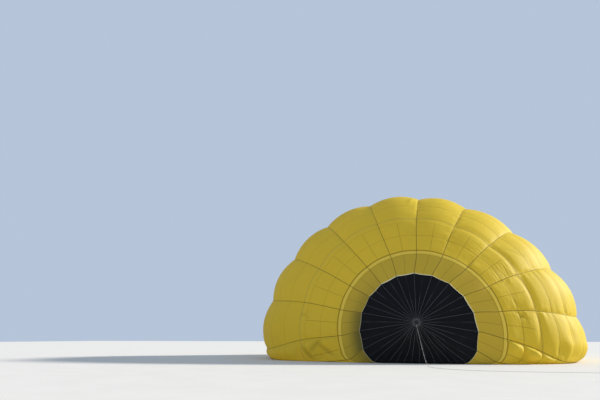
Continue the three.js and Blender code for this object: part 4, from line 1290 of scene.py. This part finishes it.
def add_rim_and_foot():
    """The padded rim, pulled in where it is laced to the wicker, and the leather band round the foot."""
    def laced(along):
        off = np.mod(along, RIM["lacing"]) - RIM["lacing"] / 2
        lacing = 0.07 * np.exp(-(off / 0.012) ** 2)
        return 1 - lacing - 0.015 * (1 + np.sin(along * 23)) / 2

    shapes = Shapes()
    profile = rounded_profile(-RIM["half"], RIM["half"], BASKET_HIGH - RIM_HIGH, BASKET_HIGH, RIM["round"])
    shapes.add(*swept(profile, outline(-WALL / 2, 0.012), True, laced))
    for end in (-1, 1):
        crossing = ((end * PILOT, -RIM["reach_y"]), (end * PILOT, RIM["reach_y"]))
        lengthwise = ((end * PILOT, 0), (end * RIM["reach_x"], 0))
        for start, finish in (crossing, lengthwise):
            shapes.add(*swept(profile, straight(start, finish, 0.012), False, laced))
    rim = lay(shapes.build("padded_rim_leather", rim_leather), "balloon", "leather", "padded_rim")

    shapes = Shapes()
    shapes.add(*swept(rounded_profile(0.0005, PROUD, FOOT_LOW, FOOT_HIGH, 0.008, 3), outline(0, 0.03), True))
    lay(shapes.build("foot_band_leather", foot_leather), "balloon", "leather", "foot_band")


def add_handles():
    """Rope handles on the outside of the basket."""
    shapes = Shapes()
    places = [(x, side * BASKET_WIDE / 2, (0, side)) for x in (-0.7, 0.0, 0.7) for side in (-1, 1)]
    places += [(end * BASKET_LONG / 2, y, (end, 0)) for y in (-0.4, 0.4) for end in (-1, 1)]
    bend = np.linspace(0, math.pi, 25)
    for x, y, (ox, oy) in places:
        side = HANDLE["half"] * np.cos(bend)
        drop = HANDLE["drop"] * np.sin(bend) ** 0.8
        out = 0.010 - 0.016 * np.exp(-(np.sin(bend) / 0.12) ** 2)
        path = [x - oy * side + ox * out, y + ox * side + oy * out, HANDLE["z"] - drop]
        path = np.stack(path, axis=1)
        shapes.add(*tube(path, HANDLE["rope"], 10), loop_uv(np.arange(10) / 10, distances(path)))
    lay(shapes.build("rope_handles", rope_material), "balloon", "rope")


def add_cylinders():
    """Four gas cylinders, each with a valve, a gauge and two straps."""
    low, top, r = WALL_LOW, WALL_LOW + TANK["high"], TANK["radius"]
    quarter = np.linspace(0, math.pi / 2, 13)
    shoulder = [(0.03 + (r - 0.03) * math.cos(a), top - 0.19 + 0.12 * math.sin(a)) for a in quarter]
    quarter = np.linspace(-math.pi / 2, 0, 7)
    foot = [(r - 0.04 + 0.04 * math.cos(a), low + 0.04 + 0.04 * math.sin(a)) for a in quarter]
    body = [(0.001, low), *foot, (r, (low + top) / 2), *shoulder, (0.001, top - 0.07)]
    inner = TANK["collar"] - 0.002
    collar = [(inner + out, top - down) for out, down in
              ((0, 0.11), (0.008, 0.11), (0.008, 0.004), (0.004, 0), (0, 0.004), (0, 0.11))]
    valve = [(out, top - down) for out, down in
             ((0.001, 0.08), (0.017, 0.08), (0.017, 0.055), (0.012, 0.05), (0.012, 0.03), (0.001, 0.03))]
    wheel = [(out, top - down) for out, down in
             ((0.001, 0.03), (0.028, 0.028), (0.034, 0.022), (0.028, 0.016), (0.001, 0.014))]
    y = BASKET_WIDE / 2 - WALL - SEAT - r
    for i, (sx, sy) in enumerate(CORNER_SIGNS):
        centre = (sx * TANK["x"], sy * y, 0)
        name = f"gas_cylinder_{i + 1}"
        shell = Shapes()
        shell.add(*lathe(body, 64, centre))
        shell.add(*lathe(collar, 64, centre))
        piece = shell.build(name + "_body", cylinder_material)
        around = np.tile(np.arange(64) / 64, len(body) + len(collar))
        height = np.concatenate(shell.points)[:, 2] - low
        set_uv(piece, "tape", np.stack([around, height], axis=1))
        lay(piece, "balloon", "cylinder_metal", name)
        fitting = Shapes()
        fitting.add(*lathe(valve, 24, centre))
        outlet = [(centre[0], centre[1] - sy * out, top - 0.06) for out in (0.012, 0.05)]
        fitting.add(*tube(outlet, 0.009, 12))
        lay(fitting.build(name + "_valve", brass), "balloon", "steel")
        knob = mesh_object(name + "_wheel", *lathe(wheel, 24, centre), handle_rubber)
        lay(without_pattern(knob), "balloon", "leather")
        gauge = rounded_box((0.036, 0.012, 0.036), 0.005, (centre[0] + 0.045, centre[1], top - 0.035))
        lay(without_pattern(mesh_object(name + "_gauge", *gauge, dial_white)), "balloon", "steel")
        straps = Shapes()
        angle = np.linspace(0, 2 * math.pi, 65)
        for height in STRAP["heights"]:
            normal = np.stack([np.cos(angle), np.sin(angle), np.zeros(65)], axis=1)
            circle = normal * (r + 0.0005) + (centre[0], centre[1], height)
            straps.add(*ribbon(circle, (0, 0, 1), normal, STRAP["wide"], STRAP["thick"], False))
        lay(straps.build(name + "_straps", black_webbing), "balloon", "webbing")


def add_uprights():
    """Stiff rods in laced leather sleeves carry the burner frame."""
    for name, (sx, sy) in UPRIGHTS.items():
        low = np.array([sx * POST["x"], sy * POST["y"], BASKET_HIGH + SEAT])
        high = np.array([sx * FRAME["x"], sy * FRAME["y"], FRAME["z"] - FRAME["block"] - SEAT])
        share = np.linspace(0, 1, 60)
        path = low + share[:, None] * (high - low)
        hems = np.exp(-((share - 0.03) / 0.02) ** 2) + np.exp(-((share - 0.97) / 0.02) ** 2)
        creases = np.sin(share * 90) * 0.0006 + np.sin(share * 37 + sx) * 0.0006
        radius = 0.0255 + 0.0022 * hems + creases
        points, faces = tube(path, radius, 28)
        sleeve = mesh_object(f"upright_{name}_sleeve", points, faces, sleeve_leather)
        set_uv(sleeve, "tape", loop_uv(np.arange(28) * 0.0063, share * np.linalg.norm(high - low)))
        lay(sleeve, "balloon", "leather", f"upright_{name}")


def ring_profile(bore, radius, half, bevel):
    """The closed profile of a turned ring with bevelled edges, from half its height."""
    flat = radius - 0.002
    return [(bore, -half), (flat, -half), (radius, bevel - half), (radius, half - bevel), (flat, half),
            (bore, half), (bore, -half)]


def bearing(radius):
    return ring_profile(BEARING["bore"], radius, BEARING["half"], 0.004)


def add_frame():
    """The burner frame's welded tubes, corner blocks and lugs."""
    x, y, z = FRAME["x"], FRAME["y"], FRAME["z"]
    shapes = Shapes()
    for side in (-1, 1):
        shapes.add(*tube([(-x, side * y, z), (x, side * y, z)], FRAME["tube"], 24))
        shapes.add(*tube([(side * x, -y, z), (side * x, y, z)], FRAME["tube"], 24))
        rail = side * FRAME["rail"]
        shapes.add(*tube([(rail, -y, z), (rail, -0.03, z)], FRAME["tube"], 24))
        shapes.add(*tube([(rail, 0.03, z), (rail, y, z)], FRAME["tube"], 24))
        shapes.add(*lathe(bearing(BEARING["on_frame"]), 32, (rail, 0, z), ONTO_X))
        for end in (-1, 1):
            shapes.add(*rounded_box((0.014, 0.03, 0.036), 0.004, (rail, end * 0.036, z)))
            corner = (side * x, end * y, z)
            block = 2 * FRAME["block"]
            shapes.add(*rounded_box((block, block, block), 0.006, corner))
            lug_middle = z + FRAME["block"] + LUG["high"] - LUG["wide"] / 2
            washer = ring_profile(LUG["hole"], LUG["wide"] / 2, LUG["thick"] / 2, 0.002)
            shapes.add(*lathe(washer, 32, (side * x, end * y, lug_middle), ONTO_Y))
            lug_foot = (side * x, end * y, z + FRAME["block"] + 0.006)
            shapes.add(*rounded_box((LUG["wide"], LUG["thick"], 0.016), 0.002, lug_foot))
    lay(shade_by_angle(shapes.build("burner_frame_tubes", frame_steel)), "balloon", "steel", "burner_frame")


def shade_by_angle(piece):
    """Shades a piece as smooth, but for its sharper edges."""
    sharp = bmesh.new()
    sharp.from_mesh(piece.data)
    for edge in sharp.edges:
        edge.smooth = len(edge.link_faces) == 2 and edge.calc_face_angle(0) < math.radians(SHARP_DEGREES)
    sharp.to_mesh(piece.data)
    sharp.free()
    return piece


def add_gimbal():
    half, z = GIMBAL["half"], FRAME["z"]
    shapes = Shapes()
    for side in (-1, 1):
        shapes.add(*tube([(side * half, -half, z), (side * half, half, z)], GIMBAL["tube"], 24))
        shapes.add(*tube([(-half, side * half, z), (-0.02, side * half, z)], GIMBAL["tube"], 24))
        shapes.add(*tube([(0.02, side * half, z), (half, side * half, z)], GIMBAL["tube"], 24))
        shapes.add(*lathe(bearing(BEARING["on_gimbal"]), 32, (0, side * half, z), ONTO_Y))
        reach = FRAME["rail"] + FRAME["tube"] + 0.006
        shapes.add(*tube([(side * half, 0, z), (side * reach, 0, z)], GIMBAL["pin"], 20))
        for end in (-1, 1):
            shapes.add(*rounded_box((0.036, 0.036, 0.036), 0.004, (side * half, end * half, z)))
    lay(shade_by_angle(shapes.build("gimbal_ring_tubes", frame_steel)), "gimbal", "steel", "gimbal_ring")


def add_burner_block():
    half, z, spread = GIMBAL["half"], FRAME["z"], BURNER["spread"]
    shapes = Shapes()
    levers = Shapes()
    arm = GIMBAL["tube"] - 0.002
    pin_reach = half + GIMBAL["tube"] + 0.006
    shapes.add(*tube([(0, -pin_reach, z), (0, pin_reach, z)], GIMBAL["pin"], 20))
    shapes.add(*tube([(0, -half + 0.04, z), (0, half - 0.04, z)], arm, 24))
    for side in (-1, 1):
        y = side * spread
        shapes.add(*tube([(-spread, y, z), (spread, y, z)], arm, 24))
        for end in (-1, 1):
            x = end * spread
            foot_size = (0.06, 0.06, BURNER["foot"] - 0.001)
            shapes.add(*rounded_box(foot_size, 0.006, (x, y, z + BURNER["foot"] / 2)))
            shapes.add(*rounded_box((0.046, 0.046, 0.04), 0.006, (x, y, z - 0.016)))
            stem = [(0.001, z - 0.06), (0.014, z - 0.058), (0.014, z - 0.03), (0.001, z - 0.03)]
            shapes.add(*lathe(stem, 20, (x, y, 0)))
            lever = [(x, y, z - 0.052), (x * 0.9, y * 0.86, z - 0.075), (x * 0.72, y * 0.6, z - 0.1)]
            levers.add(*tube(lever, (0.006, 0.007, 0.009), 12))
    lay(shade_by_angle(shapes.build("burner_block_pipes", frame_steel)), "burners", "steel", "burner_block")
    lay(without_pattern(levers.build("blast_levers", handle_rubber)), "burners", "leather")


def add_burners():
    """Each burner is a long vapour coil on a plate, over a ring of jets and a pilot light."""
    base = FRAME["z"] + BURNER["foot"]
    wire = BURNER["coil"]
    turns, per_turn = 21, 32
    bend = np.arange(turns * per_turn + 1) * 2 * math.pi / per_turn
    coil_radius = BURNER["radius"] - wire - 0.002
    rise = base + 0.025 + (BURNER["high"] - 0.036) * np.arange(len(bend)) / (len(bend) - 1)
    for i, (sx, sy) in enumerate(CORNER_SIGNS):
        x, y = sx * BURNER["spread"], sy * BURNER["spread"]
        coil = np.stack([x + coil_radius * np.cos(bend), y + coil_radius * np.sin(bend), rise], axis=1)
        piece = mesh_object(f"burner_{i + 1}_coil", *tube(coil, wire, 8), coil_steel)
        lay(piece, "burners", "steel", f"burner_{i + 1}")
        rest = Shapes()
        plate = [(out, base + up) for out, up in
                 ((0.001, 0), (0.145, 0), (0.15, 0.003), (0.15, 0.008), (0.145, 0.01), (0.001, 0.01))]
        rest.add(*lathe(plate, 48, (x, y, 0)))
        ring = np.linspace(0, 2 * math.pi, 49)[:-1]
        out = JETS["radius"]
        pipe = [x + out * np.cos(ring), y + out * np.sin(ring), np.full(48, base + JETS["high"])]
        rest.add(*tube(np.stack(pipe, axis=1), JETS["tube"], 12, closed=True))
        jet = [(0.001, base + 0.046), (0.006, base + 0.046), (0.004, base + 0.064), (0.001, base + 0.064)]
        for k in range(JETS["count"]):
            angle = 2 * math.pi * k / JETS["count"]
            rest.add(*lathe(jet, 12, (x + out * math.cos(angle), y + out * math.sin(angle), 0)))
        pilot = [(out, base + up) for out, up in
                 ((0.016, 0.01), (0.018, 0.01), (0.018, 0.075), (0.016, 0.075), (0.016, 0.01))]
        rest.add(*lathe(pilot, 24, (x, y, 0)))
        for k in range(4):
            angle = math.pi / 4 + k * math.pi / 2
            strut_x, strut_y = x + STRUT["out"] * math.cos(angle), y + STRUT["out"] * math.sin(angle)
            strut = [(strut_x, strut_y, base + h) for h in (0.008, BURNER["high"] - 0.004)]
            rest.add(*tube(strut, STRUT["radius"], 10))
        lay(shade_by_angle(rest.build(f"burner_{i + 1}_jets", frame_steel)), "burners", "steel")


def keep_node(name, material):
    """A CAD node whose shape is right gets its finish."""
    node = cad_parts[name]
    node.data.materials.clear()
    node.data.materials.append(material)


add_walls()
add_rim_and_foot()
add_handles()
add_cylinders()
add_uprights()
add_frame()
add_gimbal()
add_burner_block()
add_burners()
keep_node("basket_floor", plywood_material)
for corner_name in UPRIGHTS:
    keep_node("wires_" + corner_name, cable_steel)


# Floor and light

def add_floor():
    g = Graph("pale_floor")
    cloud = g.noise(g.place(), 0.5, 3.0)
    color = g.mix(cloud, (0.62, 0.60, 0.56), (0.68, 0.66, 0.62))
    material = g.finish(g.principled(color, 0.9, Specular_IOR_Level=0.1))
    half = 160
    corners = [(-half, -half, 0), (half, -half, 0), (half, half, 0), (-half, half, 0)]
    floor = mesh_object("floor", corners, [(0, 1, 2, 3)], material)


def add_sun():
    data = bpy.data.lights.new("sun", "SUN")
    data.energy = 5.9
    data.angle = math.radians(6)
    data.color = (1.0, 0.95, 0.88)
    sun = bpy.data.objects.new("sun", data)
    to_sun = Vector((0.85, 0.35, 0.45))
    sun.rotation_euler = to_sun.to_track_quat("Z", "Y").to_euler()
    bpy.context.scene.collection.objects.link(sun)


def add_sky():
    world = bpy.data.worlds.new("sky")
    world.use_nodes = True
    background = world.node_tree.nodes["Background"]
    background.inputs["Color"].default_value = (0.62, 0.74, 0.92, 1)
    background.inputs["Strength"].default_value = 0.75
    bpy.context.scene.world = world


add_floor()
add_sun()
add_sky()
